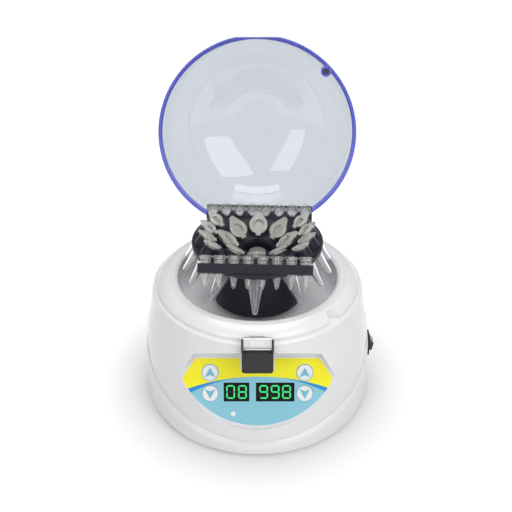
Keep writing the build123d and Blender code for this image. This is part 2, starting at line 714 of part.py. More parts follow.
def make_board_screws():
    back = -BOARD_DEPTH - BOARD_THICKNESS
    screws = []
    for u, v in BOARD_BOSSES:
        shank = panel_rod(u, v, BOARD_SCREW_R, back, -BOARD_DEPTH + 4.5)
        screws.append(shank + panel_rod(u, v, 2.1, back - 1.5, back))
    return joined(screws)


# Chamber

def make_chamber_bowl():
    out_r = BOWL_R + BOWL_WALL
    low = BOWL_FLOOR_Z - BOWL_WALL
    corner = BOWL_ROUND * (1 - sqrt(0.5))
    outer_round = BOWL_ROUND + BOWL_WALL
    outer_corner = outer_round * (1 - sqrt(0.5))
    collar_r = BOWL_HOLE_R + BOWL_WALL
    floor_end = BOWL_R - BOWL_ROUND
    bowl = turned(
        Line((BOWL_HOLE_R, low), (floor_end, low)),
        ThreePointArc((floor_end, low), (out_r - outer_corner, low + outer_corner),
                      (out_r, low + outer_round)),
        Line((out_r, low + outer_round), (out_r, RING_UNDER_Z - BOWL_WALL)),
        Line((out_r, RING_UNDER_Z - BOWL_WALL), (BOWL_FLANGE_R, RING_UNDER_Z - BOWL_WALL)),
        Line((BOWL_FLANGE_R, RING_UNDER_Z - BOWL_WALL), (BOWL_FLANGE_R, RING_UNDER_Z)),
        Line((BOWL_FLANGE_R, RING_UNDER_Z), (BOWL_R, RING_UNDER_Z)),
        Line((BOWL_R, RING_UNDER_Z), (BOWL_R, BOWL_FLOOR_Z + BOWL_ROUND)),
        ThreePointArc((BOWL_R, BOWL_FLOOR_Z + BOWL_ROUND), (BOWL_R - corner, BOWL_FLOOR_Z + corner),
                      (floor_end, BOWL_FLOOR_Z)),
        Line((floor_end, BOWL_FLOOR_Z), (collar_r, BOWL_FLOOR_Z)),
        Line((collar_r, BOWL_FLOOR_Z), (collar_r, BOWL_FLOOR_Z + BOWL_COLLAR)),
        Line((collar_r, BOWL_FLOOR_Z + BOWL_COLLAR), (BOWL_HOLE_R, BOWL_FLOOR_Z + BOWL_COLLAR)),
        Line((BOWL_HOLE_R, BOWL_FLOOR_Z + BOWL_COLLAR), (BOWL_HOLE_R, low)),
    )
    for x, y in BOWL_SCREWS:
        bowl -= disc(BOWL_SCREW_R + FIT_GAP, RING_UNDER_Z - 3, RING_UNDER_Z + 1, x, y)
    return bowl


def make_bowl_screws():
    screws = []
    under = RING_UNDER_Z - BOWL_WALL
    for x, y in BOWL_SCREWS:
        shank = disc(BOWL_SCREW_R, under, RING_UNDER_Z + 2, x, y)
        screws.append(shank + disc(1.9, under - 1.3, under, x, y))
    return joined(screws)


# Lid, modelled closed and then swung open about the hinge

def opened(part):
    return Pos(0, HINGE_Y, HINGE_Z) * Rot(-LID_OPEN, 0, 0) * Pos(0, -HINGE_Y, -HINGE_Z) * part


def closed_lid():
    outer_a = LID_SIDE_R - 0.4 - LID_FLAT_R
    outer_b = LID_TOP_Z - LID_SIDE_TOP_Z
    inner_top = LID_TOP_Z - LID_WALL
    dome = turned(
        Line((LID_IN_R, LID_LOW_Z), (LID_RIM_R, LID_LOW_Z)),
        Line((LID_RIM_R, LID_LOW_Z), (LID_RIM_R, LID_RIM_TOP_Z)),
        Line((LID_RIM_R, LID_RIM_TOP_Z), (LID_SIDE_R, LID_RIM_TOP_Z)),
        Line((LID_SIDE_R, LID_RIM_TOP_Z), (LID_SIDE_R - 0.4, LID_SIDE_TOP_Z)),
        EllipticalCenterArc((LID_FLAT_R, LID_SIDE_TOP_Z), outer_a, outer_b),
        Line((LID_FLAT_R, LID_TOP_Z), (0, LID_TOP_Z)),
        Line((0, LID_TOP_Z), (0, inner_top)),
        Line((0, inner_top), (LID_FLAT_R, inner_top)),
        EllipticalCenterArc((LID_FLAT_R, LID_SIDE_TOP_Z), outer_a - LID_WALL, outer_b - LID_WALL),
        Line((LID_FLAT_R + outer_a - LID_WALL, LID_SIDE_TOP_Z), (LID_IN_R, LID_RIM_TOP_Z)),
        Line((LID_IN_R, LID_RIM_TOP_Z), (LID_IN_R, LID_LOW_Z)),
    )
    dome += disc(MAGNET_BOSS_R, LID_LOW_Z, LID_RIM_TOP_Z, MAGNET_X, MAGNET_Y)
    dome -= disc(MAGNET_R + FIT_GAP, LID_LOW_Z - 1, LID_LOW_Z + MAGNET_LENGTH, MAGNET_X, MAGNET_Y)
    tongue_front = HINGE_Y - HINGE_BOSS_R
    tongue = block(-TONGUE_HALF, TONGUE_HALF, tongue_front, HINGE_Y + HINGE_BOSS_R, HINGE_Z, LID_RIM_TOP_Z)
    tongue += rod_x(HINGE_BOSS_R, TONGUE_HALF, HINGE_Y, HINGE_Z)
    tongue -= disc(LID_IN_R, LID_RIM_TOP_Z - LID_RIM_HEIGHT, LID_RIM_TOP_Z + 1)
    dome += tongue
    dome -= rod_x(HINGE_PIN_R + FIT_GAP, TONGUE_HALF + 1, HINGE_Y, HINGE_Z)
    dome -= block(-REACH, REACH, -REACH, LID_CHORD_Y, 0, REACH)
    catch_half = HOOK_NOSE_HALF + CATCH_GAP
    catch_top = HOOK_TOP_Z + CATCH_GAP / 2
    return dome - block(-catch_half, catch_half, LID_CHORD_Y - 1, LID_CHORD_Y + 4, CATCH_LOW_Z, catch_top)


def make_lid_magnet():
    return opened(disc(MAGNET_R, LID_LOW_Z, LID_LOW_Z + MAGNET_LENGTH, MAGNET_X, MAGNET_Y))


def make_hinge_pin():
    half = TONGUE_HALF + HINGE_SIDE_GAP + LUG_WIDTH
    return rod_x(HINGE_PIN_R, half, HINGE_Y, HINGE_Z)


def make_lid_sensor():
    radius = hypot(MAGNET_X, MAGNET_Y) - 2.5
    return Rot(0, 0, MAGNET_ANGLE) * block(radius - 2, radius + 2, -3, 3, CEILING_Z - 3, CEILING_Z)


# Latch

def make_latch_button():
    plate = block(-LATCH_HALF, LATCH_HALF, LATCH_FRONT_Y, LATCH_BACK_Y, LATCH_LOW_Z, LATCH_PLATE_TOP_Z)
    low_corners = plate.edges().filter_by(Axis.Y).group_by(Axis.Z)[0]
    plate = fillet(low_corners, LATCH_CORNER)
    for side in (-1, 1):
        inner = LATCH_HALF - LATCH_RAIL
        low_x, high_x = sorted((side * inner, side * LATCH_HALF))
        plate += block(low_x, high_x, LATCH_FRONT_Y, LATCH_BACK_Y, LATCH_PLATE_TOP_Z - 1, HOOK_TOP_Z)
        arm = block(low_x, high_x, LATCH_FRONT_Y, LATCH_PIVOT_Y, LATCH_PIVOT_Z - LATCH_EAR_R,
                    LATCH_PIVOT_Z + LATCH_EAR_R)
        middle = (low_x + high_x) / 2
        arm += Pos(middle, 0, 0) * rod_x(LATCH_EAR_R, LATCH_RAIL / 2, LATCH_PIVOT_Y, LATCH_PIVOT_Z)
        plate += arm
    return plate - rod_x(LATCH_PIN_R + FIT_GAP, LATCH_HALF + 1, LATCH_PIVOT_Y, LATCH_PIVOT_Z)


def make_latch_hook():
    """Steel plate behind the black button, bent in at the top to hold the lid's rim."""
    half = LATCH_HALF - LATCH_RAIL - 0.05
    low = LATCH_PLATE_TOP_Z - 9
    plate = block(-half, half, LATCH_BACK_Y, LATCH_BACK_Y + HOOK_THICKNESS, low, HOOK_TOP_Z)
    shelf = block(-half, half, LATCH_BACK_Y, LID_CHORD_Y - HOOK_SHELF_GAP, HOOK_LOW_Z, HOOK_TOP_Z)
    nose = block(-HOOK_NOSE_HALF, HOOK_NOSE_HALF, LATCH_BACK_Y, HOOK_TIP_Y, HOOK_LOW_Z, HOOK_TOP_Z)
    return plate + shelf + nose


def make_latch_pin():
    return rod_x(LATCH_PIN_R, SLOT_HALF + LATCH_LUG_WIDTH - 1.5, LATCH_PIVOT_Y, LATCH_PIVOT_Z)


def make_latch_spring():
    """Torsion spring round the latch pin, with one leg on the hook plate."""
    length = SPRING_PITCH * SPRING_TURNS
    path = Helix(SPRING_PITCH, length, SPRING_R)
    section = Plane(origin=path @ 0, z_dir=path % 0) * Circle(SPRING_WIRE_R)
    coil = sweep(section, path, is_frenet=True)
    reach = LATCH_PIVOT_Y - LATCH_BACK_Y - HOOK_THICKNESS - 0.1
    leg = Cylinder(SPRING_WIRE_R, reach, align=(Align.CENTER, Align.CENTER, Align.MIN))
    coil += Pos(SPRING_R, 0, 0) * Rot(90, 0, 0) * leg
    place = Pos(-length / 2, LATCH_PIVOT_Y, LATCH_PIVOT_Z) * Rot(0, 90, 0)
    return place * coil


# Base fittings

def make_base_screws():
    screws = []
    for x, y in COLUMNS:
        line = split_height(y)
        seat = line - BASE_SCREW_GRIP
        shank = disc(BASE_SCREW_R, seat, line + BASE_SCREW_BITE, x, y)
        screws.append(shank + disc(BASE_SCREW_HEAD_R, seat - BASE_SCREW_HEAD, seat, x, y))
    return joined(screws)


def make_rubber_feet():
    feet = []
    for x, y in FEET:
        foot = disc(FOOT_R, FOOT_SINK - FOOT_HEIGHT, FOOT_SINK, x, y)
        feet.append(fillet(foot.edges().sort_by(Axis.Z)[0], 0.8))
    return joined(feet)


def make_switch_bezel():
    """Bezel and switch case in one moulding, hollow for the rocker."""
    bezel = switch_block(SWITCH_WIDTH, SWITCH_HEIGHT, 0, SWITCH_BEZEL)
    bezel = fillet(bezel.edges().filter_by(lambda edge: abs(edge.tangent_at(0).Z) < 0.1
                                           and edge.length < SWITCH_BEZEL + 0.1), 0.8)
    case = switch_block(SWITCH_CASE_WIDTH, SWITCH_CASE_HEIGHT, -SWITCH_BODY_DEPTH, 0.1)
    room_size = (SWITCH_WIDTH - 2 * SWITCH_FRAME, SWITCH_HEIGHT - 2 * SWITCH_FRAME)
    room = switch_block(*room_size, -SWITCH_ROOM_DEPTH, SWITCH_BEZEL + 1)
    tabs = switch_block(0.8, 4.5, -SWITCH_BODY_DEPTH - 5, -SWITCH_BODY_DEPTH)
    both = bezel + case - room
    for level in (-1, 1):
        shift = Pos(0, 0, level * SWITCH_HEIGHT / 4)
        both += shift * tabs
    return both


def make_switch_rocker():
    """Rocker with a crowned two-way face, resting on its off side."""
    half = SWITCH_HEIGHT / 2 - SWITCH_FRAME - ROCKER_GAP
    width = SWITCH_WIDTH - 2 * SWITCH_FRAME - 0.6
    low = half - 0.4
    corners = [(-low, -2.0), (low, -2.0), (half, ROCKER_END), (0, ROCKER_CROWN), (-half, ROCKER_END)]
    turn = radians(SWITCH_ANGLE)
    pivot = switch_frame(-ROCKER_DEPTH).origin
    side = Plane(origin=pivot, x_dir=(0, 0, 1), z_dir=(-sin(turn), cos(turn), 0))
    flat = side * Rot(0, 0, -ROCKER_TILT) * make_face(Polyline(*corners, close=True))
    return extrude(flat, width / 2, both=True)


def make_dc_jack():
    seat = BASE_R - SWITCH_FLAT
    jack = jack_rod(JACK_R, seat - JACK_LENGTH, seat)
    jack += jack_rod(JACK_FLANGE_R, seat, seat + JACK_FLANGE)
    jack -= jack_rod(JACK_BORE_R, seat + JACK_FLANGE - 9.5, seat + JACK_FLANGE + 1)
    return jack + jack_rod(JACK_PIN_R, seat - JACK_LENGTH / 2 - 4, seat - 0.5)


def power_board_stands():
    middle_y = BASE_R - 8 - JACK_LENGTH - POWER_BOARD_LENGTH / 2 + 2
    return [(x * (POWER_BOARD_WIDTH / 2 - STAND_INSET), middle_y + y * (POWER_BOARD_LENGTH / 2 - STAND_INSET))
            for x in (-1, 1) for y in (-1, 1)]


def make_power_board():
    stands = power_board_stands()
    middle_y = sum(y for _, y in stands) / len(stands)
    low = BASE_FLOOR + POWER_BOARD_STAND
    half_x = POWER_BOARD_WIDTH / 2
    half_y = POWER_BOARD_LENGTH / 2
    board = block(-half_x, half_x, middle_y - half_y, middle_y + half_y, low, low + BOARD_THICKNESS)
    top = low + BOARD_THICKNESS
    first_x = CAPACITOR_R + STAND_INSET - half_x
    board += disc(CAPACITOR_R, top, top + CAPACITOR_HEIGHT, first_x, middle_y)
    board += disc(SMALL_CAPACITOR_R, top, top + REGULATOR_HEIGHT, first_x + CAPACITOR_PITCH, middle_y)
    far_x = half_x - REGULATOR_INSET
    half_y = REGULATOR_LENGTH / 2
    return board + block(far_x - REGULATOR_WIDTH, far_x, middle_y - half_y, middle_y + half_y,
                         top, top + REGULATOR_HEIGHT)


# Motor

def make_motor_plate():
    plate = disc(MOTOR_PLATE_R + 2, PLATE_LOW_Z, PLATE_TOP_Z)
    side = PILLAR_PLACE + RUBBER_R + 1
    plate &= block(-side, side, -side, side, PLATE_LOW_Z - 1, PLATE_TOP_Z + 1)
    plate -= disc(BEARING_R + 1.6, PLATE_LOW_Z - 1, PLATE_TOP_Z + 1)
    for x, y in PILLARS:
        plate -= disc(MOTOR_SCREW_R + FIT_GAP, PLATE_LOW_Z - 1, PLATE_TOP_Z + 1, x, y)
    for x in (-MOTOR_FACE_SCREW_PLACE, MOTOR_FACE_SCREW_PLACE):
        plate -= disc(MOTOR_FACE_SCREW_R + FIT_GAP, PLATE_LOW_Z - 1, PLATE_TOP_Z + 1, x, 0)
    return plate


def make_motor_mounts():
    mounts = []
    for x, y in PILLARS:
        mount = disc(RUBBER_R, PILLAR_TOP_Z, PLATE_LOW_Z, x, y)
        mounts.append(mount - disc(MOTOR_SCREW_R + FIT_GAP, PILLAR_TOP_Z - 1, PLATE_LOW_Z + 1, x, y))
    return joined(mounts)


def make_motor_screws():
    screws = []
    for x, y in PILLARS:
        shank = disc(MOTOR_SCREW_R, PILLAR_TOP_Z - MOTOR_SCREW_BITE, PLATE_TOP_Z, x, y)
        screws.append(shank + disc(3, PLATE_TOP_Z, PLATE_TOP_Z + 2, x, y))
    for x in (-MOTOR_FACE_SCREW_PLACE, MOTOR_FACE_SCREW_PLACE):
        shank = disc(MOTOR_FACE_SCREW_R, PLATE_LOW_Z - 2, PLATE_TOP_Z, x, 0)
        screws.append(shank + disc(2.4, PLATE_TOP_Z, PLATE_TOP_Z + 1.8, x, 0))
    return joined(screws)


def make_motor_can():
    in_r = MOTOR_R - MOTOR_WALL
    top = 2 * MOTOR_WALL
    can = disc(MOTOR_R, MOTOR_LOW_Z, PLATE_LOW_Z) - disc(in_r, MOTOR_LOW_Z - 1, PLATE_LOW_Z - top)
    can += disc(BEARING_R + 1.4, PLATE_LOW_Z, PLATE_TOP_Z)
    can -= disc(BEARING_R, PLATE_LOW_Z - top - 1, PLATE_TOP_Z + 1)
    for x in (-MOTOR_FACE_SCREW_PLACE, MOTOR_FACE_SCREW_PLACE):
        can -= disc(MOTOR_FACE_SCREW_R + FIT_GAP, PLATE_LOW_Z - 2.2, PLATE_LOW_Z + 1, x, 0)
    return can


def make_motor_end_cap():
    cap = disc(MOTOR_R, MOTOR_LOW_Z - END_CAP, MOTOR_LOW_Z)
    cap += disc(MOTOR_R - MOTOR_WALL - 0.05, MOTOR_LOW_Z, MOTOR_LOW_Z + 1.5)
    return cap - disc(BEARING_R, 0, MOTOR_LOW_Z + 3)


def make_motor_bearings():
    low = disc(BEARING_R, MOTOR_LOW_Z - END_CAP, MOTOR_LOW_Z + 1.5)
    high = disc(BEARING_R, PLATE_LOW_Z - 2 * MOTOR_WALL, PLATE_TOP_Z)
    bore = disc(SHAFT_R + FIT_GAP, 0, ROTOR_Z)
    return joined([low - bore, high - bore])


def make_motor_magnets():
    out_r = MOTOR_R - MOTOR_WALL
    low = MOTOR_LOW_Z + 5
    high = PLATE_LOW_Z - 6
    ring = disc(out_r, low, high) - disc(out_r - MAGNET_SHELL, low - 1, high + 1)
    gap = block(-REACH, REACH, -5, 5, 0, REACH)
    return joined((ring - gap).solids())


def make_motor_armature():
    middle = MOTOR_LOW_Z + MOTOR_HEIGHT / 2
    low = middle - ARMATURE_HEIGHT / 2
    core = disc(ARMATURE_R, low, low + ARMATURE_HEIGHT)
    core += disc(6, low - 3, low)
    for x, y in around(ARMATURE_R, range(0, 360, 30)):
        core -= disc(1.4, low - 1, low + ARMATURE_HEIGHT + 1, x, y)
    return core - disc(SHAFT_R + FIT_GAP, 0, REACH)


def make_motor_shaft():
    return disc(SHAFT_R, MOTOR_LOW_Z - END_CAP - 1, WELL_Z + NUT_HEIGHT - 2.0)


def make_shaft_adapter():
    low = PLATE_TOP_Z + 2.5
    flange_low = HUB_LOW_Z - 2
    adapter = disc(ADAPTER_R, low, flange_low) + disc(ADAPTER_FLANGE_R, flange_low, HUB_LOW_Z)
    return adapter - disc(SHAFT_R + FIT_GAP, low - 1, HUB_LOW_Z + 1)


# Tubes and rotor: each tube hangs down from the centre of its cap top

def tube_place(radius, height, tilt, angle):
    return Rot(0, 0, angle) * Pos(radius, 0, height) * Rot(0, -tilt, 0)


def tube_body(cap_r, cap_height, body_r, length, cone, tip_r):
    """Turned tube with its closed cap; the cap top has a shallow well."""
    well_r = cap_r * 0.68
    body = turned_points(
        (0, -1.2), (well_r, -1.2), (well_r, 0), (cap_r, 0), (cap_r, -cap_height),
        (body_r, -cap_height), (body_r, -(length - cone)), (tip_r, -(length - tip_r)), (0, -(length - tip_r)))
    tip = Pos(0, 0, -(length - tip_r)) * Sphere(tip_r)
    return body + tip


def flip_tube(cap_r, cap_height, body_r, length, cone, tip_r):
    """Tube whose cap is on a hinge strap, with a lifting tab opposite."""
    tube = tube_body(cap_r, cap_height, body_r, length, cone, tip_r)
    tab = block(cap_r - 1, cap_r + 3, -cap_r / 2, cap_r / 2, -1.2, -0.2)
    tab = fillet(tab.edges().filter_by(Axis.Z).group_by(Axis.X)[-1], cap_r / 3)
    strap = block(-cap_r - 1.4, -cap_r + 1, -1.6, 1.6, -cap_height + 0.2, -0.4)
    return tube + tab + strap


LARGE_PLACES = [tube_place(LARGE_CAP_PLACE, LARGE_CAP_Z, LARGE_TILT, 360 / LARGE_COUNT * i)
                for i in range(LARGE_COUNT)]
SMALL_ANGLES = [side + step * SMALL_STEP for side in (0, 180) for step in (-1.5, -0.5, 0.5, 1.5)]
SMALL_PLACES = [tube_place(SMALL_CAP_PLACE, SMALL_CAP_Z, SMALL_TILT, a) for a in SMALL_ANGLES]
STRIP_OFFSETS = [(i - (STRIP_COUNT - 1) / 2) * STRIP_PITCH for i in range(STRIP_COUNT)]


def strip_place(angle):
    return tube_place(STRIP_PLACE, STRIP_Z, LARGE_TILT, angle)


def make_large_tubes():
    tube = flip_tube(LARGE_CAP_R, LARGE_CAP_HEIGHT, LARGE_R, LARGE_LENGTH, LARGE_CONE, 1.8)
    return joined([place * tube for place in LARGE_PLACES])


def make_small_tubes():
    tube = flip_tube(SMALL_CAP_R, SMALL_CAP_HEIGHT, SMALL_R, SMALL_LENGTH, SMALL_CONE, 1.4)
    return joined([place * tube for place in SMALL_PLACES])


def make_pcr_strip(angle):
    """Eight small tubes and their caps, joined side by side."""
    rim = 1.5
    tube = turned_points(
        (0, -STRIP_WELL), (STRIP_WELL_R, -STRIP_WELL), (STRIP_WELL_R, 0), (STRIP_RIM_R, 0), (STRIP_RIM_R, -rim),
        (STRIP_COLLAR_R, -rim), (STRIP_COLLAR_R, -STRIP_COLLAR), (STRIP_R, -STRIP_COLLAR),
        (STRIP_R, -(STRIP_LENGTH - STRIP_CONE)), (1.3, -(STRIP_LENGTH - 1.3)), (0, -(STRIP_LENGTH - 1.3)))
    tube += Pos(0, 0, -(STRIP_LENGTH - 1.3)) * Sphere(1.3)
    reach = STRIP_OFFSETS[-1]
    strip = block(-1.5, 1.5, -reach, reach, -rim, -0.3)
    for offset in STRIP_OFFSETS:
        strip += Pos(0, offset, 0) * tube
    for offset in STRIP_OFFSETS:
        strip -= Pos(0, offset, 0) * down_rod(STRIP_WELL_R, -1, STRIP_WELL)
    return strip_place(angle) * strip


def rotor_body():
    """Dish plate, skirt and hub in one turned shape."""
    skirt_top_z = ROTOR_Z - SKIRT_TOP_DROP
    skirt_lean = (SKIRT_LOW_R - SKIRT_TOP_R) / (skirt_top_z - SKIRT_LOW_Z)
    under_dish = DISH_Z - 0.5
    meet_r = SKIRT_TOP_R - skirt_lean * (under_dish - skirt_top_z)
    web_low = WELL_Z - WELL_FLOOR
    web_r = SKIRT_TOP_R + skirt_lean * (skirt_top_z - web_low) - SKIRT_WALL
    return turned_points(
        (SHAFT_R + FIT_GAP, HUB_LOW_Z), (HUB_R, HUB_LOW_Z), (HUB_R, web_low),
        (web_r, web_low), (SKIRT_LOW_R - SKIRT_WALL, SKIRT_LOW_Z),
        (SKIRT_LOW_R, SKIRT_LOW_Z), (meet_r, under_dish), (ROTOR_FLAT_R + 0.5, ROTOR_Z - ROTOR_PLATE),
        (ROTOR_R, ROTOR_Z - ROTOR_PLATE), (ROTOR_R, ROTOR_Z), (ROTOR_FLAT_R, ROTOR_Z),
        (DISH_R, DISH_Z), (WELL_R, DISH_Z), (WELL_R, WELL_Z), (SHAFT_R + FIT_GAP, WELL_Z))


def down_rod(radius, low, high):
    """Cylinder hanging along a tube's own axis, between two depths."""
    return Pos(0, 0, -high) * Cylinder(radius, high - low, align=(Align.CENTER, Align.CENTER, Align.MIN))


def make_rotor():
    rotor = rotor_body()
    for places, cap_r, cap_height, seat in (
            (LARGE_PLACES, LARGE_CAP_R, LARGE_CAP_HEIGHT, 7.0),
            (SMALL_PLACES, SMALL_CAP_R, SMALL_CAP_HEIGHT, 6.5)):
        boss = down_rod(cap_r + SEAT_WALL, cap_height + SEAT_GAP, cap_height + seat)
        for place in places:
            rotor += place * boss
    half = STRIP_OFFSETS[-1] + HOLDER_END
    holder_top = -STRIP_COLLAR - SEAT_GAP
    holder = block(-HOLDER_WIDTH / 2, HOLDER_WIDTH / 2, -half, half, holder_top - HOLDER_HEIGHT, holder_top)
    for angle in (-90, 90):
        rotor += strip_place(angle) * holder
    for place in LARGE_PLACES:
        rotor -= place * down_rod(LARGE_R + TUBE_GAP, 0, LARGE_LENGTH)
    for place in SMALL_PLACES:
        rotor -= place * down_rod(SMALL_R + TUBE_GAP, 0, SMALL_LENGTH)
    hole = down_rod(STRIP_R + TUBE_GAP, STRIP_COLLAR - 1, STRIP_LENGTH)
    for angle in (-90, 90):
        for offset in STRIP_OFFSETS:
            rotor -= strip_place(angle) * Pos(0, offset, 0) * hole
    return rotor


def make_rotor_nut():
    nut = disc(NUT_R, WELL_Z, WELL_Z + NUT_HEIGHT)
    nut = fillet(nut.edges().sort_by(Axis.Z)[-1], 0.8)
    return nut - disc(SHAFT_R + FIT_GAP, WELL_Z - 1, WELL_Z + NUT_HEIGHT - 1.8)


def resting(part):
    """The rotor stops a little turned from square."""
    return Rot(0, 0, ROTOR_TURN) * part


def make_parts():
    parts = {
        "base_shell": make_base_shell(),
        "upper_housing": make_upper_housing(),
        "chamber_bowl": make_chamber_bowl(),
        "bowl_screws": make_bowl_screws(),
        "motor_plate": make_motor_plate(),
        "motor_mounts": make_motor_mounts(),
        "motor_screws": make_motor_screws(),
        "motor_can": make_motor_can(),
        "motor_end_cap": make_motor_end_cap(),
        "motor_bearings": make_motor_bearings(),
        "motor_magnets": make_motor_magnets(),
        "motor_armature": make_motor_armature(),
        "motor_shaft": make_motor_shaft(),
        "shaft_adapter": make_shaft_adapter(),
        "rotor": resting(make_rotor()),
        "rotor_nut": make_rotor_nut(),
        "large_tubes": resting(make_large_tubes()),
        "small_tubes": resting(make_small_tubes()),
        "pcr_strip_front": resting(make_pcr_strip(-90)),
        "pcr_strip_rear": resting(make_pcr_strip(90)),
        "lid_dome": opened(closed_lid()),
        "lid_magnet": make_lid_magnet(),
        "lid_sensor": make_lid_sensor(),
        "hinge_pin": make_hinge_pin(),
        "latch_button": make_latch_button(),
        "latch_hook": make_latch_hook(),
        "latch_pin": make_latch_pin(),
        "latch_spring": make_latch_spring(),
        "panel_overlay": make_panel_overlay(),
        "display_speed": make_display(SPEED_DISPLAY_U, SPEED_DISPLAY_WIDTH),
        "display_time": make_display(TIME_DISPLAY_U, TIME_DISPLAY_WIDTH),
        "indicator_lens": make_indicator_lens(),
        "tact_switches": make_tact_switches(),
        "control_board": make_control_board(),
        "board_screws": make_board_screws(),
        "switch_bezel": make_switch_bezel(),
        "switch_rocker": make_switch_rocker(),
        "dc_jack": make_dc_jack(),
        "power_board": make_power_board(),
        "base_screws": make_base_screws(),
        "rubber_feet": make_rubber_feet(),
    }
    for name, (u, v) in KEYS.items():
        parts[name] = make_key(u, v)
    return parts


os.makedirs("parts", exist_ok=True)
for node, shape in make_parts().items():
    export_step(shape, f"parts/{node}.step")
    print(f"{node:20s} solids {len(shape.solids())}  volume {shape.volume:10.1f}")
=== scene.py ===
"""Mini centrifuge: finishes, clear lid, tubes, key marks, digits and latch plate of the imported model.

The script is laid out as an add-on and is run as a script. Places are written in millimetres in
the model's own frame, origin on the base underside, +Z up, keypad towards -Y.
"""

from math import acos, atan2, cos, pi, radians, sin, sqrt

import bmesh
import bpy
from bpy.props import FloatProperty, FloatVectorProperty, PointerProperty, StringProperty
from mathutils import Matrix, Vector


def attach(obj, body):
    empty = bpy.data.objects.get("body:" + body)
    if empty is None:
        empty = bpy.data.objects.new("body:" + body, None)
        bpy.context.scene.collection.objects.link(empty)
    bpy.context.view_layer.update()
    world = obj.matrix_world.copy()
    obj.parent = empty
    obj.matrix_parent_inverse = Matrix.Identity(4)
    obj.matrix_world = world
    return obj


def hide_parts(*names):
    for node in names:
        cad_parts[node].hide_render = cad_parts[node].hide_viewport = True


bl_info = {
    "name": "Mini Centrifuge",
    "version": (1, 0, 0),
    "blender": (4, 5, 0),
    "location": "View3D > Sidebar > Centrifuge",
    "description": "Finishes and fine pieces of a small bench centrifuge",
    "category": "Add Mesh",
}

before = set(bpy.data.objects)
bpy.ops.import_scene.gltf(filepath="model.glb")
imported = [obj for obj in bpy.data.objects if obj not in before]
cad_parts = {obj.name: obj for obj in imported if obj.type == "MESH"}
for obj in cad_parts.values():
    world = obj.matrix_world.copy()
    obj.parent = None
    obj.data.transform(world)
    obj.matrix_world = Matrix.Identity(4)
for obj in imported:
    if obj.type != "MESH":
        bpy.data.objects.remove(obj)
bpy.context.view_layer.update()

MM = 0.001
WHITE = (1.0, 1.0, 1.0)

# Panel plane: foot of the label, and how far the label leans back from upright
PANEL_FOOT = (0.0, -72.5, 22.1)
PANEL_TILT = radians(27.0)

# Label film: its outline, the bare edge round the print, the border between the inks and the crescents
LABEL_TOP_V = 45.0
LABEL_TOP_HALF = 40.0
LABEL_BELLY_R = 54.2
LABEL_SIDE_LEAN = 9.2 / 13.7
LABEL_BARE_EDGE = 0.45
BORDER_R = 138.0
BORDER_TOP = (1.0, 32.5)
CRESCENT_R = 96.0
CRESCENT_RISE = 0.2
INK_BLUR = 0.12

# Keys: place across and up the panel, and the way each arrow points
KEY_R = 5.1
KEY_RING = 0.55
KEY_TOP = 1.1
KEYS = {
    "button_speed_up": (-30.4, 35.2, 1),
    "button_speed_down": (-30.4, 21.6, -1),
    "button_time_up": (30.4, 35.2, 1),
    "button_time_down": (30.4, 21.6, -1),
}
ARROW_TIP = 3.5
ARROW_HALF = 3.5
ARROW_BACK = 3.0
ARROW_HOLLOW = 1.5
MARK_SUNK = 0.1
MARK_RISE = 0.05
MARK_EDGE = 0.03

# Displays: places of the digits across the panel, and the strokes of a digit
DISPLAY_TOP = 0.15
DIGIT_PLACES = {"speed": (-17.3, -9.7), "time": (3.95, 11.4, 18.7)}
DIGIT_V = 22.4
DIGIT_WIDTH = 5.7
DIGIT_HEIGHT = 9.0
DIGIT_STROKE = 1.0
SEGMENT_GAP = 0.14
SEGMENT_SUNK = 0.05
SEGMENT_RISE = 0.06
SEGMENT_EDGE = 0.02
LIT = {"0": "abcdef", "1": "bc", "2": "abdeg", "3": "abcdg", "4": "bcfg", "5": "acdfg", "6": "acdefg",
       "7": "abc", "8": "abcdefg", "9": "abcdfg"}

# Hinge and lid: the dome's side leans in by a share of its radius over its height, then less and less
HINGE = (0.0, 70.9, 83.0)
LID_OPEN = radians(101.5)
LID_RIM_TOP_Z = 90.5
LID_SIDE_HEIGHT = 13.5
LID_LEAN = 0.031
LID_LEAN_FADE = 0.8
LID_IOR = 1.49
RIM_MARGIN = 0.05
RIM_BLUR = 0.2

# Latch plate with its bead above the button, its shelf and nose, and the pad pressed out of it
PLATE_HALF = 8.75
PLATE_FRONT_Y = -71.5
PLATE_BACK_Y = -70.5
PLATE_LOW_Z = 73.7
PLATE_TOP_Z = 91.8
PLATE_BEND = 0.9
SHELF_END_Y = -69.4
NOSE_HALF = 4.5
NOSE_TIP_Y = -68.2
NOSE_UNDER_Z = 90.8
BUTTON_TOP_Z = 82.7
BEAD_OUT = 0.4
BEAD_RISE = (0.25, 0.5, 1.2, 1.6)
PAD_Z = 88.0
PAD_HALF_W = 5.2
PAD_HALF_H = 1.8
PAD_CORNER = 0.6
PAD_SUNK = 0.3
PAD_RISE = 0.28
PAD_EDGE = 0.2

# Tubes with flip caps: cap, body, tip and tab_r are radii, strap is half a width, and tab is how far
# the lifting tab stands out; length, rim and well go down from the cap's top, and cone up from the tip
LARGE_TUBE = {"cap": 6.1, "body": 5.35, "length": 39.8, "cone": 21.0, "tip": 1.8, "rim": 3.2, "strap": 1.6,
              "tab": 3.6, "tab_r": 2.3, "well": 3.0}
SMALL_TUBE = {"cap": 4.6, "body": 3.45, "length": 31.0, "cone": 17.0, "tip": 1.4, "rim": 2.8, "strap": 1.4,
              "tab": 3.1, "tab_r": 1.9, "well": 2.6}
SMALL_WALL_SHARE = 0.8
STRAP_REACH = 1.4
CAP_EASE = 0.35
CAP_WELL_SHARE = 0.56
CAP_RING_SHARE = 0.78
PLUG_GAP = 0.05
TUBE_SIDES = 64

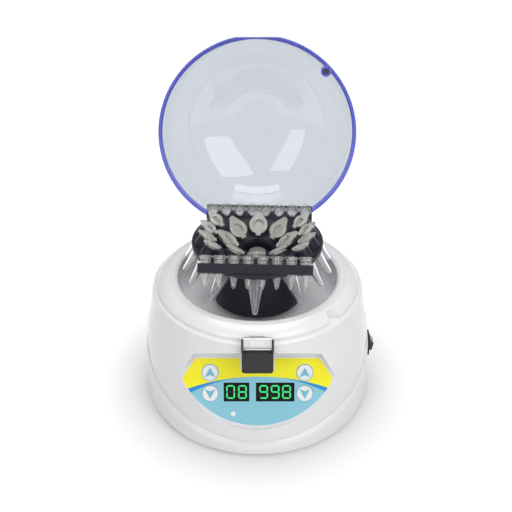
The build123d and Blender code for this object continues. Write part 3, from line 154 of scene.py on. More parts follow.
# Tube strips: the first five sizes are radii, and cone and length go down from the cap's top
STRIP_TUBE = {"cap": 3.95, "well": 2.3, "neck": 3.4, "body": 3.1, "tip": 1.3, "cone": 9.7, "length": 20.7}
STRIP_COUNT = 8
STRIP_PITCH = 9.0
STRIP_OFFSETS = [(i - (STRIP_COUNT - 1) / 2) * STRIP_PITCH for i in range(STRIP_COUNT)]
STRIP_WALL = 0.6
STRIP_SIDES = 40

# Where tubes hang: distance of the cap's centre from the rotor's axis, its height, and the tilt
ROTOR_TURN = radians(-2.2)
LARGE_TILT = radians(38.0)
SMALL_TILT = radians(34.5)
LARGE_HANG = (18.0, 120.0, LARGE_TILT)
SMALL_HANG = (31.5, 125.0, SMALL_TILT)
STRIP_HANG = (30.0, 125.0, LARGE_TILT)
LARGE_ANGLES = [radians(45.0 * i) for i in range(8)]
SMALL_STEP = 20.0
SMALL_ANGLES = [radians(side + step * SMALL_STEP) for side in (0, 180) for step in (-1.5, -0.5, 0.5, 1.5)]

# Socket at the back
JACK_Z = 15.0
JACK_BORE_R = 2.85

# Camera worked out from the photograph's outlines
CAMERA_PLACE = (-0.95, -527.9, 444.2)
CAMERA_PITCH = radians(57.36)
CAMERA_LENS = 66.49
CAMERA_SENSOR = 36.0

# Lamps, in metres: place, sides and share of the lamp power
LAMP_TARGET = (0.0, 0.0, 0.09)
LAMPS = {
    "right_lamp": ((0.45, -0.70, 0.65), (0.68, 0.8), 1.0),
    "left_lamp": ((-0.43, -0.75, 0.54), (0.38, 0.72), 0.45),
    "top_lamp": ((0.0, 0.1, 1.1), (0.8, 0.8), 1.3),
}

# Floor: near the object it shows the shadow under a share of its glow, and beyond it only glows
FLOOR_Z = -1.5
FLOOR_R = 3000.0
FLOOR_SIDES = 96
FLOOR_FAR = (0.96, 0.96, 0.96)
FLOOR_GLOW = 1.2
SHADOW_R = 104.0
SHADOW_BLUR = 50.0
SHADOW_LIFT = 0.2

# Meshes: corners sharper than this show as edges, and points closer than this are one
SHARP_ANGLE = radians(35.0)
WELD = 0.002

# Colour sockets of a Mix node, which come after those for numbers and vectors
MIX_FIRST = 6
MIX_SECOND = 7
MIX_RESULT = 2


def linear(colour):
    """Scene-linear colour from one as it is seen on a screen."""
    return [c / 12.92 if c <= 0.04045 else ((c + 0.055) / 1.055) ** 2.4 for c in colour]


def tone(colour, change):
    """The same colour a little lighter or darker."""
    return [min(1.0, max(0.0, c + change)) for c in colour]


def socket_name(word):
    """Name of a socket from a keyword: specular_ior_level is Specular IOR Level."""
    return word.replace("_", " ").title().replace("Ior", "IOR")


# Materials

class Number:
    """A number that varies over a surface; arithmetic on it adds Math nodes."""

    def __init__(self, nodes, socket):
        self.nodes = nodes
        self.socket = socket

    def math(self, operation, *values):
        """Result of a Math node on values or Numbers."""
        made = self.nodes.node("ShaderNodeMath", {"operation": operation}, dict(enumerate(values)))
        return Number(self.nodes, made.outputs[0])

    def __add__(self, other):
        return self.math("ADD", self, other)

    __radd__ = __add__

    def __sub__(self, other):
        return self.math("SUBTRACT", self, other)

    def __rsub__(self, other):
        return self.math("SUBTRACT", other, self)

    def __mul__(self, other):
        return self.math("MULTIPLY", self, other)

    __rmul__ = __mul__

    def __truediv__(self, other):
        return self.math("DIVIDE", self, other)

    def __abs__(self):
        return self.math("ABSOLUTE", self)

    def root(self):
        return self.math("SQRT", self)

    def sine(self):
        return self.math("SINE", self)

    def larger(self, other):
        return self.math("MAXIMUM", self, other)

    def smaller(self, other):
        return self.math("MINIMUM", self, other)

    def above(self, edge, soft):
        """0 below the edge and 1 above it, blurred over a soft width."""
        ramp = (self - edge) / soft + 0.5
        return ramp.smaller(1.0).larger(0.0)

    def below(self, edge, soft):
        """1 below the edge and 0 above it, blurred over a soft width."""
        return 1.0 - self.above(edge, soft)


class Nodes:
    """The nodes of a material or of the sky, which come from one method."""

    def __init__(self, tree):
        self.tree = tree

    def set(self, node, socket, value):
        """Gives a socket a value, or a link from a varying one."""
        target = node.inputs[socket]
        if isinstance(value, Number):
            value = value.socket
        if isinstance(value, bpy.types.NodeSocket):
            self.tree.links.new(value, target)
        else:
            target.default_value = value

    def node(self, kind, settings=None, values=None):
        """A new node, with its settings first and then the values or links of its sockets."""
        made = self.tree.nodes.new(kind)
        for name, value in (settings or {}).items():
            setattr(made, name, value)
        for socket, value in (values or {}).items():
            self.set(made, socket, value)
        return made

    def seen_by(self, *rays):
        """1 for light paths of the kinds named, and 0 for the others."""
        path = self.node("ShaderNodeLightPath")
        seen, *others = (Number(self, path.outputs[f"Is {ray} Ray"]) for ray in rays)
        for other in others:
            seen = seen.larger(other)
        return seen

    def blend(self, factor, first, second, output):
        """Shows the second shader and not the first where the factor is 1."""
        shaders = {0: factor, 1: first.outputs[0], 2: second.outputs[0]}
        both = self.node("ShaderNodeMixShader", None, shaders)
        self.set(self.tree.nodes[output], "Surface", both.outputs[0])


class Finish(Nodes):
    """A procedural material; values are set on its main shader."""

    def __init__(self, name, colour, **values):
        self.material = bpy.data.materials.new(name)
        self.material.use_nodes = True
        super().__init__(self.material.node_tree)
        self.surface = self.tree.nodes["Principled BSDF"]
        self.set(self.surface, "Base Color", (*linear(colour), 1.0))
        self.shade(**values)

    def shade(self, **values):
        """Gives sockets of the main shader values or links."""
        for word, value in values.items():
            self.set(self.surface, socket_name(word), value)
        return self

    def relief(self, height, depth):
        """Bump from a height of 0 to 1 and a depth in millimetres."""
        values = {"Height": height, "Distance": depth * MM, "Strength": 1.0}
        return self.shade(normal=self.node("ShaderNodeBump", None, values).outputs[0])

    def vector_math(self, operation, *values):
        """Result of a Vector Math node on vectors or links."""
        made = self.node("ShaderNodeVectorMath", {"operation": operation}, dict(enumerate(values)))
        return made.outputs[0]

    def place(self, stretch=(1.0, 1.0, 1.0)):
        """Object coordinates in millimetres, so that the grain has its real size."""
        source = self.node("ShaderNodeTexCoord").outputs["Object"]
        return self.vector_math("MULTIPLY", source, [factor / MM for factor in stretch])

    def axes(self, origin=(0.0, 0.0, 0.0)):
        """X, Y and Z in millimetres from an origin."""
        moved = self.vector_math("SUBTRACT", self.place(), origin)
        split = self.node("ShaderNodeSeparateXYZ", None, {0: moved})
        return [Number(self, socket) for socket in split.outputs]

    def noise(self, size, detail=2.0, stretch=(1.0, 1.0, 1.0)):
        """Noise from 0 to 1 whose patches are about a size in millimetres across."""
        values = {"Vector": self.place(stretch), "Scale": 1.0 / size, "Detail": detail}
        return Number(self, self.node("ShaderNodeTexNoise", None, values).outputs["Fac"])

    def cells(self, size, kind="DISTANCE_TO_EDGE"):
        """Distance to the edge, or with F1 to the middle, of cells about a size in millimetres across."""
        values = {"Vector": self.place(), "Scale": 1.0 / size}
        made = self.node("ShaderNodeTexVoronoi", {"feature": kind}, values)
        return Number(self, made.outputs["Distance"])

    def mix(self, factor, first, second):
        """Colour between two colours, which may be links or colours as seen on a screen."""
        inputs = {0: factor}
        for socket, colour in ((MIX_FIRST, first), (MIX_SECOND, second)):
            linked = isinstance(colour, bpy.types.NodeSocket)
            inputs[socket] = colour if linked else (*linear(colour), 1.0)
        return self.node("ShaderNodeMix", {"data_type": "RGBA"}, inputs).outputs[MIX_RESULT]

    def vary(self, factor, colour, darker, lighter):
        """Colour that goes from a little darker to a little lighter as the factor goes from 0 to 1."""
        return self.mix(factor, tone(colour, -darker), tone(colour, lighter))


def gloss_moulding(name, colour, roughness=0.16, depth=0.012, coat=0.35):
    """Glossy moulded plastic: faint orange peel, a hint of flow marks, fine handling haze."""
    finish = Finish(name, colour, coat_weight=coat, coat_roughness=0.06, specular_ior_level=0.5)
    flow = finish.noise(38.0, 3.0, (1.0, 1.0, 0.35))
    haze = finish.noise(4.0, 4.0)
    peel = finish.noise(1.6, 2.0)
    finish.shade(base_color=finish.vary(flow, colour, 0.008, 0.006), roughness=roughness + 0.09 * haze)
    return finish.relief(peel, depth).material


def satin_moulding(name, colour, roughness=0.42, grain=0.45, depth=0.03, shine=0.45):
    """Spark-eroded satin plastic with a fine even grain and slightly rubbed patches."""
    finish = Finish(name, colour, specular_ior_level=shine)
    fine = finish.noise(grain, 3.0)
    rubbed = finish.noise(14.0, 4.0)
    finish.shade(base_color=finish.vary(rubbed, colour, 0.01, 0.018),
                 roughness=roughness - 0.1 * rubbed + 0.06 * fine)
    return finish.relief(fine, depth).material


def brushed_metal(name, colour, stretch, roughness=0.26):
    """Metal with straight brush marks along one axis."""
    finish = Finish(name, colour, metallic=1.0)
    marks = finish.noise(0.35, 4.0, stretch)
    cloud = finish.noise(9.0, 3.0)
    finish.shade(base_color=finish.vary(marks, colour, 0.05, 0.04),
                 roughness=roughness + 0.14 * marks + 0.06 * cloud)
    return finish.relief(marks, 0.008).material


def turned_metal(name, colour, pitch=0.35, roughness=0.24):
    """Lathe-turned metal with fine rings round the upright axis in the middle."""
    finish = Finish(name, colour, metallic=1.0)
    x, y, z = finish.axes()
    turns = ((x * x + y * y).root() + z) * (2 * pi / pitch)
    rings = (turns.sine() + 1.0) * 0.5
    cloud = finish.noise(6.0, 3.0)
    finish.shade(base_color=finish.vary(cloud, colour, 0.04, 0.03), roughness=roughness + 0.1 * rings)
    return finish.relief(rings, 0.006).material


def milky_moulding(name, tint, roughness, clear, ior=1.3):
    """Cloudy moulded plastic that lets a share of the light through."""
    finish = Finish(name, tint, transmission_weight=clear, ior=ior, coat_weight=0.6, coat_roughness=0.08)
    haze = finish.noise(7.0, 4.0)
    fine = finish.noise(1.2, 3.0)
    finish.shade(base_color=finish.vary(haze, tint, 0.015, 0.01), roughness=roughness * (0.7 + 0.6 * haze))
    return finish.relief(fine, 0.002).material


def rubber(name, colour):
    """Dull rubber with a coarse grain and a little dust."""
    finish = Finish(name, colour, specular_ior_level=0.3)
    grain = finish.noise(0.5, 5.0)
    dust = finish.noise(5.0, 4.0)
    finish.shade(base_color=finish.vary(dust, colour, 0.0, 0.05), roughness=0.62 + 0.2 * dust)
    return finish.relief(grain, 0.08).material


def circuit_board(name, colour):
    """Solder mask over copper tracks, with tinned pads."""
    tin = (0.74, 0.75, 0.74)
    finish = Finish(name, colour, specular_ior_level=0.5)
    tracks = finish.cells(3.2).below(0.08, 0.02)
    pads = finish.cells(2.6, "F1").below(0.12, 0.02)
    weave = finish.noise(0.6, 2.0)
    finish.shade(base_color=finish.mix(pads, finish.vary(tracks, colour, 0.0, 0.11), tin),
                 metallic=pads * 0.9, roughness=0.3 + 0.12 * weave)
    return finish.relief((tracks + pads).smaller(1.0), 0.03).material


def label_print(name, looks):
    """Printed film: yellow over pale blue with a curved border, blue crescents and key rings."""
    finish = Finish(name, looks.lower_colour, coat_weight=0.25, coat_roughness=0.25)
    u, y, z = finish.axes(PANEL_FOOT)
    v = y * sin(PANEL_TILT) + z * cos(PANEL_TILT)

    def distance(centre_u, centre_v):
        across = u - centre_u
        up = v - centre_v
        return (across * across + up * up).root()

    top_u, top_v = BORDER_TOP
    yellow = distance(top_u, top_v - BORDER_R).above(BORDER_R, INK_BLUR)
    crescent = distance(top_u, top_v + CRESCENT_RISE - CRESCENT_R).above(CRESCENT_R, INK_BLUR)
    ink = finish.mix(crescent, looks.lower_colour, looks.crescent_colour)
    ink = finish.mix(yellow, ink, looks.upper_colour)
    for key_u, key_v, _ in KEYS.values():
        ring = distance(key_u, key_v).below(KEY_R + KEY_RING, INK_BLUR)
        ink = finish.mix(ring, ink, looks.ring_colour)
    belly = LABEL_BELLY_R - distance(0.0, LABEL_BELLY_R)
    slant = sqrt(1 + LABEL_SIDE_LEAN ** 2)
    side = (LABEL_TOP_HALF - abs(u) + (LABEL_TOP_V - v) * LABEL_SIDE_LEAN) / slant
    edge = belly.smaller(side).smaller(LABEL_TOP_V - v).below(LABEL_BARE_EDGE, INK_BLUR)
    ink = finish.mix(edge, ink, looks.edge_colour)
    mottle = finish.noise(2.2, 3.0)
    finish.shade(base_color=ink, roughness=0.3 + 0.12 * mottle)
    return finish.relief(finish.noise(0.7, 2.0), 0.01).material


def glow(name, colour, strength):
    """Lit display segment, slightly uneven as behind a diffuser."""
    finish = Finish(name, tone(colour, -0.1), roughness=0.4, emission_strength=strength)
    uneven = finish.noise(1.4, 2.0)
    return finish.shade(emission_color=finish.vary(uneven, colour, 0.04, 0.03)).material


def lid_plastic(name, looks):
    """Clear tinted lid whose thick rim gathers the tint."""
    finish = Finish(name, looks.tint, transmission_weight=1.0, ior=LID_IOR)
    haze = finish.noise(26.0, 4.0)
    finish.shade(base_color=finish.vary(haze, looks.tint, 0.012, 0.008), roughness=0.015 + 0.03 * haze)
    finish.relief(finish.noise(19.0, 2.0), 0.05)
    _, y, z = finish.axes(HINGE)
    height = y * sin(LID_OPEN) + z * cos(LID_OPEN)
    rim = height.below(LID_RIM_TOP_Z - HINGE[2] + RIM_MARGIN, RIM_BLUR)
    grain = finish.noise(1.5, 3.0)
    edge = finish.node("ShaderNodeBsdfPrincipled", None, {
        "Base Color": finish.vary(grain, looks.rim_colour, 0.03, 0.03), "Roughness": 0.12,
        "Transmission Weight": 0.45, "IOR": LID_IOR, "Coat Weight": 0.3})
    finish.blend(rim, finish.surface, edge, "Material Output")
    return finish.material


def jack_finish(name):
    """Black socket body with a nickel pin and lining inside its bore."""
    black = (0.1, 0.1, 0.1)
    nickel = (0.76, 0.74, 0.68)
    finish = Finish(name, black, specular_ior_level=0.45)
    x, _, z = finish.axes((0.0, 0.0, JACK_Z))
    metal = (x * x + z * z).root().below(JACK_BORE_R, 0.1)
    grain = finish.noise(0.5, 3.0)
    finish.shade(base_color=finish.mix(metal, black, nickel), metallic=metal,
                 roughness=0.34 + 0.12 * grain)
    return finish.relief(grain, 0.015).material


# Meshes

def panel_matrix():
    """From panel coordinates (across, up, out) to the frame."""
    across = Vector((1.0, 0.0, 0.0))
    up = Vector((0.0, sin(PANEL_TILT), cos(PANEL_TILT)))
    out = across.cross(up)
    turn = Matrix((across, up, out)).transposed().to_4x4()
    return Matrix.Translation(PANEL_FOOT) @ turn


def tube_matrix(radius, height, tilt, angle):
    """Place of a tube that hangs from the centre of its cap's top."""
    return (Matrix.Rotation(ROTOR_TURN + angle, 4, "Z") @ Matrix.Translation((radius, 0.0, height))
            @ Matrix.Rotation(-tilt, 4, "Y"))


def add_piece(name, bm, material, body, place=None):
    """Turns a mesh in millimetres into a piece that rides on a body."""
    if place is not None:
        bmesh.ops.transform(bm, matrix=place, verts=bm.verts)
    bmesh.ops.scale(bm, vec=(MM, MM, MM), verts=bm.verts)
    mesh = bpy.data.meshes.new(name)
    bm.to_mesh(mesh)
    bm.free()
    mesh.materials.append(material)
    mesh.shade_smooth()
    mesh.set_sharp_from_angle(angle=SHARP_ANGLE)
    piece = bpy.data.objects.new(name, mesh)
    bpy.context.scene.collection.objects.link(piece)
    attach(piece, body)
    return piece


def prism(bm, outline, low, high, edge):
    """Flat outline raised from low to high, with its top edge eased."""
    middle = Vector((sum(p[0] for p in outline), sum(p[1] for p in outline))) / len(outline)
    rings = []
    for level, shrink in ((low, 0.0), (high - edge, 0.0), (high, edge)):
        ring = []
        for point in outline:
            offset = Vector(point) - middle
            inner = middle + offset * max(0.0, 1 - shrink / max(offset.length, edge))
            ring.append(bm.verts.new((*inner, level)))
        rings.append(ring)
    bm.faces.new(list(reversed(rings[0])))
    bm.faces.new(rings[-1])
    for lower, upper in zip(rings, rings[1:]):
        for i in range(len(outline)):
            j = (i + 1) % len(outline)
            bm.faces.new((lower[i], lower[j], upper[j], upper[i]))


def ring_points(radius, height, angles):
    """Points of a level ring, whose radius is a number or a function of the angle."""
    radii = [radius(angle) if callable(radius) else radius for angle in angles]
    return [(r * cos(angle), r * sin(angle), height) for r, angle in zip(radii, angles)]


def polar_shell(bm, rings, angles, inward=False):
    """Closed skin over rings of (radius, height); the first and the last are points on the axis."""
    loops = [[bm.verts.new(point) for point in ring_points(*ring, angles)] for ring in rings[1:-1]]
    first = bm.verts.new((0.0, 0.0, rings[0][1]))
    last = bm.verts.new((0.0, 0.0, rings[-1][1]))
    faces = []
    count = len(angles)
    for i in range(count):
        j = (i + 1) % count
        faces.append((first, loops[0][i], loops[0][j]))
        faces.append((last, loops[-1][j], loops[-1][i]))
        for upper, lower in zip(loops, loops[1:]):
            faces.append((upper[i], lower[i], lower[j], upper[j]))
    for face in faces:
        bm.faces.new(tuple(reversed(face)) if inward else face)


def even_angles(count):
    """Evenly spaced angles of a full turn."""
    return [2 * pi * i / count for i in range(count)]


def leaning_lid(bm):
    """The lid of the frame, whose side leans in a little more above the rim."""
    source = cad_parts["lid_dome"]
    bm.from_mesh(source.data)
    hinge = Matrix.Translation(HINGE)
    shut = hinge @ Matrix.Rotation(LID_OPEN, 4, "X") @ hinge.inverted()
    to_shut = shut @ Matrix.Scale(1 / MM, 4) @ source.matrix_world
    bmesh.ops.transform(bm, matrix=to_shut, verts=bm.verts)
    bmesh.ops.remove_doubles(bm, verts=bm.verts, dist=WELD)
    for vert in bm.verts:
        rise = max((vert.co.z - LID_RIM_TOP_Z) / LID_SIDE_HEIGHT, 0.0)
        past = min(max(rise - 1.0, 0.0), LID_LEAN_FADE)
        rise = min(rise, 1.0) + past - past * past / (2 * LID_LEAN_FADE)
        vert.co.x *= 1 - LID_LEAN * rise
        vert.co.y *= 1 - LID_LEAN * rise
    bmesh.ops.transform(bm, matrix=shut.inverted(), verts=bm.verts)


def cap_outline(radius, reach, tip_r, strap_half, strap_end, shrink=0.0):
    """Radius of a flip cap: round, drawn out to a lifting tab in front and a strap behind."""
    round_r = radius - shrink
    tip = tip_r - shrink
    lean = acos((round_r - tip) / reach)
    tip_angle = atan2(tip * sin(lean), reach + tip * cos(lean))

    def radius_at(angle):
        turn = abs(atan2(sin(angle), cos(angle)))
        if turn < tip_angle:
            return reach * cos(turn) + sqrt(max(0.0, tip ** 2 - (reach * sin(turn)) ** 2))
        if turn < lean:
            return round_r / cos(lean - turn)
        behind = pi - turn
        half = strap_half - shrink
        end = strap_end - shrink
        if behind < atan2(half, end):
            return end / cos(behind)
        if behind < atan2(half, round_r):
            return half / sin(behind)
        return round_r

    return radius_at


def strap_angles(strap_half, radius, strap_end):
    """Evenly spaced angles, with extra ones at the corners of a strap behind."""
    angles = even_angles(TUBE_SIDES)
    corners = ((strap_half, strap_end), (strap_half - 0.15, strap_end), (strap_half + 0.02, radius))
    for half, reach in corners:
        corner = atan2(half, reach)
        angles += [pi - corner, pi + corner]
    return sorted(set(round(a, 5) for a in angles))


def flip_cap(bm, size, wall):
    """Flip cap with a lifting tab and a strap: a rim, a ring and a well on top, and a plug below."""
    cap_r, tab_r, rim, well, strap_half = (size[k] for k in ("cap", "tab_r", "rim", "well", "strap"))
    strap_end = cap_r + STRAP_REACH
    reach = cap_r + size["tab"] - tab_r
    eased = cap_outline(cap_r, reach, tab_r, strap_half, strap_end, CAP_EASE)
    full = cap_outline(cap_r, reach, tab_r, strap_half, strap_end)
    well_r = cap_r * CAP_WELL_SHARE
    ring_r = cap_r * CAP_RING_SHARE
    plug_r = size["body"] - wall - PLUG_GAP
    top = [(0.0, -well), (well_r - 0.5, -well), (well_r, -well + 0.5), (well_r, -0.35),
           (well_r + 0.3, -0.1), (ring_r - 0.35, -0.1), (ring_r - 0.1, 0.12), (ring_r + 0.25, 0.12),
           (ring_r + 0.45, -0.08)]
    side = [(eased, -0.08), (full, -0.4), (full, -rim * 0.42), (eased, -rim * 0.5)]
    plug = [(plug_r, -rim * 0.52), (plug_r, -well - 0.6), (plug_r - 0.3, -well - 0.9),
            (0.0, -well - 0.9)]
    polar_shell(bm, top + side + plug, strap_angles(strap_half, cap_r, strap_end))


def open_tube(bm, size, wall):
    """Hollow tube from its tip up to the lip under the cap, with a straight body and a long cone."""
    cap_r, body_r, tip_r, strap_half = (size[k] for k in ("cap", "body", "tip", "strap"))
    length, cone, rim = (size[k] for k in ("length", "cone", "rim"))
    strap_end = cap_r + STRAP_REACH
    lip = cap_outline(cap_r - 0.1, cap_r + 0.4, cap_r * 0.2, strap_half, strap_end)
    in_r = body_r - wall
    in_tip = max(0.35, tip_r - wall * 0.8)
    shoulder = -(length - cone)
    end = -(length - tip_r)
    top = -rim * 0.56
    bore = [(0.0, end - in_tip), (in_tip * 0.7, end - in_tip * 0.6), (in_tip + 0.1, end + 0.5),
            (in_r - 0.12, shoulder - 0.3), (in_r, shoulder + 0.4), (in_r, top - 0.1)]
    mouth = [(in_r + 0.1, top), (body_r + 0.1, top), (lip, top - 0.15), (lip, -rim + 0.15),
             (cap_r - 0.3, -rim), (body_r + 0.05, -rim - 0.05)]
    outside = [(body_r, -rim - 0.6), (body_r, shoulder + 0.6), (body_r - 0.12, shoulder - 0.3),
               (tip_r + 0.12, end + 0.4)]
    steps = 5
    for step in range(steps):
        turn = pi / 2 * step / steps
        outside.append((tip_r * cos(turn), end - tip_r * sin(turn)))
    outside.append((0.0, -length))
    polar_shell(bm, bore + mouth + outside, strap_angles(strap_half, cap_r, strap_end), inward=True)


def strip_tubes(bm, wall):
    """Eight small hollow tubes with flat ringed caps, joined side by side by short webs."""
    cap_r, well_r, neck_r, body_r, tip_r = (STRIP_TUBE[k] for k in ("cap", "well", "neck", "body", "tip"))
    cone = -STRIP_TUBE["cone"]
    end = -STRIP_TUBE["length"]
    cap = [(0.0, -2.5), (well_r - 0.4, -2.5), (well_r, -2.2), (well_r, -0.3), (well_r + 0.25, -0.05),
           (well_r + 0.55, 0.0), (cap_r - 0.35, 0.0), (cap_r, -0.3), (cap_r, -1.3), (cap_r - 0.2, -1.5)]
    outside = [(neck_r, -1.6), (neck_r, -5.1), (neck_r - 0.15, -5.3), (body_r, -5.4), (body_r, cone),
               (tip_r + 0.1, end + 1.6), (tip_r, end + 1.3), (tip_r - 0.38, end + 0.38),
               (tip_r - 0.9, end + 0.04), (0.0, end)]
    bore = [(0.0, -3.2), (well_r + 0.2, -3.2), (neck_r - wall, -3.6), (body_r - wall, cone - 0.1),
            (tip_r - wall * 0.6, end + 1.7), (0.0, end + 1.1)]
    angles = even_angles(STRIP_SIDES)
    for offset in STRIP_OFFSETS:
        start = len(bm.verts)
        polar_shell(bm, cap + outside, angles)
        polar_shell(bm, bore, angles, inward=True)
        bm.verts.ensure_lookup_table()
        bmesh.ops.translate(bm, verts=bm.verts[start:], vec=(0.0, offset, 0.0))
    web_half = 1.3
    web_start = cap_r - 0.15
    for left, right in zip(STRIP_OFFSETS, STRIP_OFFSETS[1:]):
        web = [(-web_half, left + web_start), (web_half, left + web_start),
               (web_half, right - web_start), (-web_half, right - web_start)]
        prism(bm, web, -1.3, -0.3, 0.1)


def segment_outlines(u, v):
    """The seven strokes of a digit centred on a point of the panel."""
    half_w = (DIGIT_WIDTH - DIGIT_STROKE) / 2
    half_h = (DIGIT_HEIGHT - DIGIT_STROKE) / 2
    nib = DIGIT_STROKE / 2
    level = {"a": half_h, "g": 0.0, "d": -half_h}
    upright = {"b": (half_w, half_h / 2), "c": (half_w, -half_h / 2), "e": (-half_w, -half_h / 2),
               "f": (-half_w, half_h / 2)}
    shapes = {}
    for letter, up in level.items():
        run = half_w - SEGMENT_GAP
        middle = v + up
        shapes[letter] = [(u - run, middle), (u - run + nib, middle - nib), (u + run - nib, middle - nib),
                          (u + run, middle), (u + run - nib, middle + nib), (u - run + nib, middle + nib)]
    for letter, (across, up) in upright.items():
        run = half_h / 2 - SEGMENT_GAP
        middle = u + across
        low = v + up - run
        high = v + up + run
        shapes[letter] = [(middle, low), (middle + nib, low + nib), (middle + nib, high - nib),
                          (middle, high), (middle - nib, high - nib), (middle - nib, low + nib)]
    return shapes


def arrowhead(u, v, way):
    """Broad arrowhead with a hollow back, pointing up or down."""
    corners = [(0.0, ARROW_TIP), (-ARROW_HALF, -ARROW_BACK), (0.0, -ARROW_HOLLOW),
               (ARROW_HALF, -ARROW_BACK)]
    if way < 0:
        corners.reverse()
    return [(u + x, v + y * way) for x, y in corners]


def latch_plate(bm):
    """Pressed plate, bent in at the top to a shelf with a narrower nose, and a bead above the button."""
    profile = [(PLATE_FRONT_Y, PLATE_LOW_Z)]
    for out, rise in zip((0.0, BEAD_OUT, BEAD_OUT, 0.0), BEAD_RISE):
        profile.append((PLATE_FRONT_Y - out, BUTTON_TOP_Z + rise))
    steps = 6
    for step in range(steps + 1):
        turn = pi / 2 * step / steps
        profile.append((PLATE_FRONT_Y + PLATE_BEND * (1 - cos(turn)),
                        PLATE_TOP_Z - PLATE_BEND * (1 - sin(turn))))
    top = len(profile)
    profile += [(SHELF_END_Y, PLATE_TOP_Z), (SHELF_END_Y, NOSE_UNDER_Z),
                (PLATE_BACK_Y + 0.3, NOSE_UNDER_Z), (PLATE_BACK_Y, NOSE_UNDER_Z - 0.3),
                (PLATE_BACK_Y, PLATE_LOW_Z)]
    nose = [(SHELF_END_Y, PLATE_TOP_Z), (NOSE_TIP_Y - 0.2, PLATE_TOP_Z),
            (NOSE_TIP_Y, PLATE_TOP_Z - 0.2), (NOSE_TIP_Y, NOSE_UNDER_Z + 0.1),
            (NOSE_TIP_Y - 0.1, NOSE_UNDER_Z), (SHELF_END_Y, NOSE_UNDER_Z)]

    def side_points(outline, x):
        return [bm.verts.new((x, y, z)) for y, z in outline]

    left, right = (side_points(profile, x) for x in (-PLATE_HALF, PLATE_HALF))
    nose_left, nose_right = (side_points(nose, x) for x in (-NOSE_HALF, NOSE_HALF))
    for i in range(len(profile)):
        j = (i + 1) % len(profile)
        if i == top:
            bm.faces.new((left[i], nose_left[0], nose_left[-1], left[j]))
            bm.faces.new((nose_right[0], right[i], right[j], nose_right[-1]))
            continue
        face = [left[i], right[i], right[j], left[j]]
        if j == top:
            face[3:3] = [nose_right[0], nose_left[0]]
        if i == top + 1:
            face[1:1] = [nose_left[-1], nose_right[-1]]
        bm.faces.new(face)
    for i in range(len(nose) - 1):
        bm.faces.new((nose_left[i], nose_right[i], nose_right[i + 1], nose_left[i + 1]))
    for side in (left, right, nose_left, nose_right):
        bm.faces.new(side)
    bmesh.ops.recalc_face_normals(bm, faces=bm.faces)


def latch_pad(bm):
    """Low rounded pad pressed out of the plate's face."""
    outline = []
    for side, up, start in ((1, 1, 0.0), (-1, 1, 0.5), (-1, -1, 1.0), (1, -1, 1.5)):
        for step in range(5):
            turn = pi * (start + step / 8)
            outline.append((side * (PAD_HALF_W - PAD_CORNER) + PAD_CORNER * cos(turn),
                            up * (PAD_HALF_H - PAD_CORNER) + PAD_CORNER * sin(turn)))
    prism(bm, outline, -PAD_SUNK, PAD_RISE, PAD_EDGE)


# What a user may change

def shown(name, description, default):
    """Property for a colour as it is seen on a screen."""
    return FloatVectorProperty(name=name, description=description, default=default, size=3, min=0.0,
                               max=1.0, subtype="COLOR_GAMMA")


class ShellLooks(bpy.types.PropertyGroup):
    """Colours of the shells and the chamber."""
    housing_colour: shown("Housing", "Colour of the upper housing", (0.925, 0.925, 0.93))
    base_colour: shown("Base", "Colour of the base shell", (0.93, 0.93, 0.935))
    bowl_colour: shown("Bowl", "Colour of the chamber bowl", (0.97, 0.975, 0.98))


class LidLooks(bpy.types.PropertyGroup):
    """Colours of the clear lid."""
    tint: shown("Tint", "Tint of the clear lid", (0.795, 0.815, 0.842))
    rim_colour: shown("Rim", "Colour that the rim gathers", (0.42, 0.45, 0.93))


class PanelLooks(bpy.types.PropertyGroup):
    """Inks, digits and light of the keypad."""
    upper_colour: shown("Upper ink", "Ink above the curved border", (1.0, 0.96, 0.10))
    lower_colour: shown("Lower ink", "Ink below the curved border", (0.55, 0.805, 0.88))
    crescent_colour: shown("Crescent ink", "Ink of the two crescents", (0.10, 0.57, 0.85))
    ring_colour: shown("Key rings", "Thin rings round the keys", (0.55, 0.80, 0.88))
    edge_colour: shown("Edge", "Unprinted edge of the film", (0.93, 0.92, 0.96))
    mark_colour: shown("Key marks", "Arrowheads on the keys", (0.47, 0.75, 0.84))
    digit_colour: shown("Digits", "Lit strokes of the displays", (0.25, 0.85, 0.50))
    digit_strength: FloatProperty(name="Digit light", description="Strength of the lit strokes",
                                  default=0.6, min=0.0, max=5.0, subtype="FACTOR")
    speed_shown: StringProperty(name="Speed", description="Two digits on the speed display", default="08")
    time_shown: StringProperty(name="Time", description="Three digits on the time display", default="998")


class RotorLooks(bpy.types.PropertyGroup):
    """Rotor and tube plastics."""
    rotor_colour: shown("Rotor", "Colour of the rotor", (0.14, 0.145, 0.185))
    tube_colour: shown("Tubes", "Tint of the tubes with flip caps", (0.955, 0.96, 0.965))
    cap_colour: shown("Caps", "Tint of the flip caps", (0.93, 0.93, 0.905))
    strip_colour: shown("Strips", "Tint of the tube strips", (0.975, 0.975, 0.975))
    tube_wall: FloatProperty(name="Tube wall", description="Wall of the large tubes in millimetres",
                             default=0.95, min=0.4, max=1.5)


class StageLooks(bpy.types.PropertyGroup):
    """Floor and light."""
    floor_colour: shown("Floor", "Colour of the floor", (0.88, 0.88, 0.88))
    lamp_power: FloatProperty(name="Lamp", description="Power of the main lamp", default=3.6, min=0.0,
                              max=50.0, unit="POWER")
    sky: FloatProperty(name="Sky", description="Strength of the even light from all round", default=0.38,
                       min=0.0, max=2.0, subtype="FACTOR")


def paint(material, *nodes):
    """Gives carried-over nodes one finish."""
    for node in nodes:
        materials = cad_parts[node].data.materials
        if not len(materials):
            materials.append(material)
        for index in range(len(materials)):
            materials[index] = material


# One operator for each piece or group of like pieces

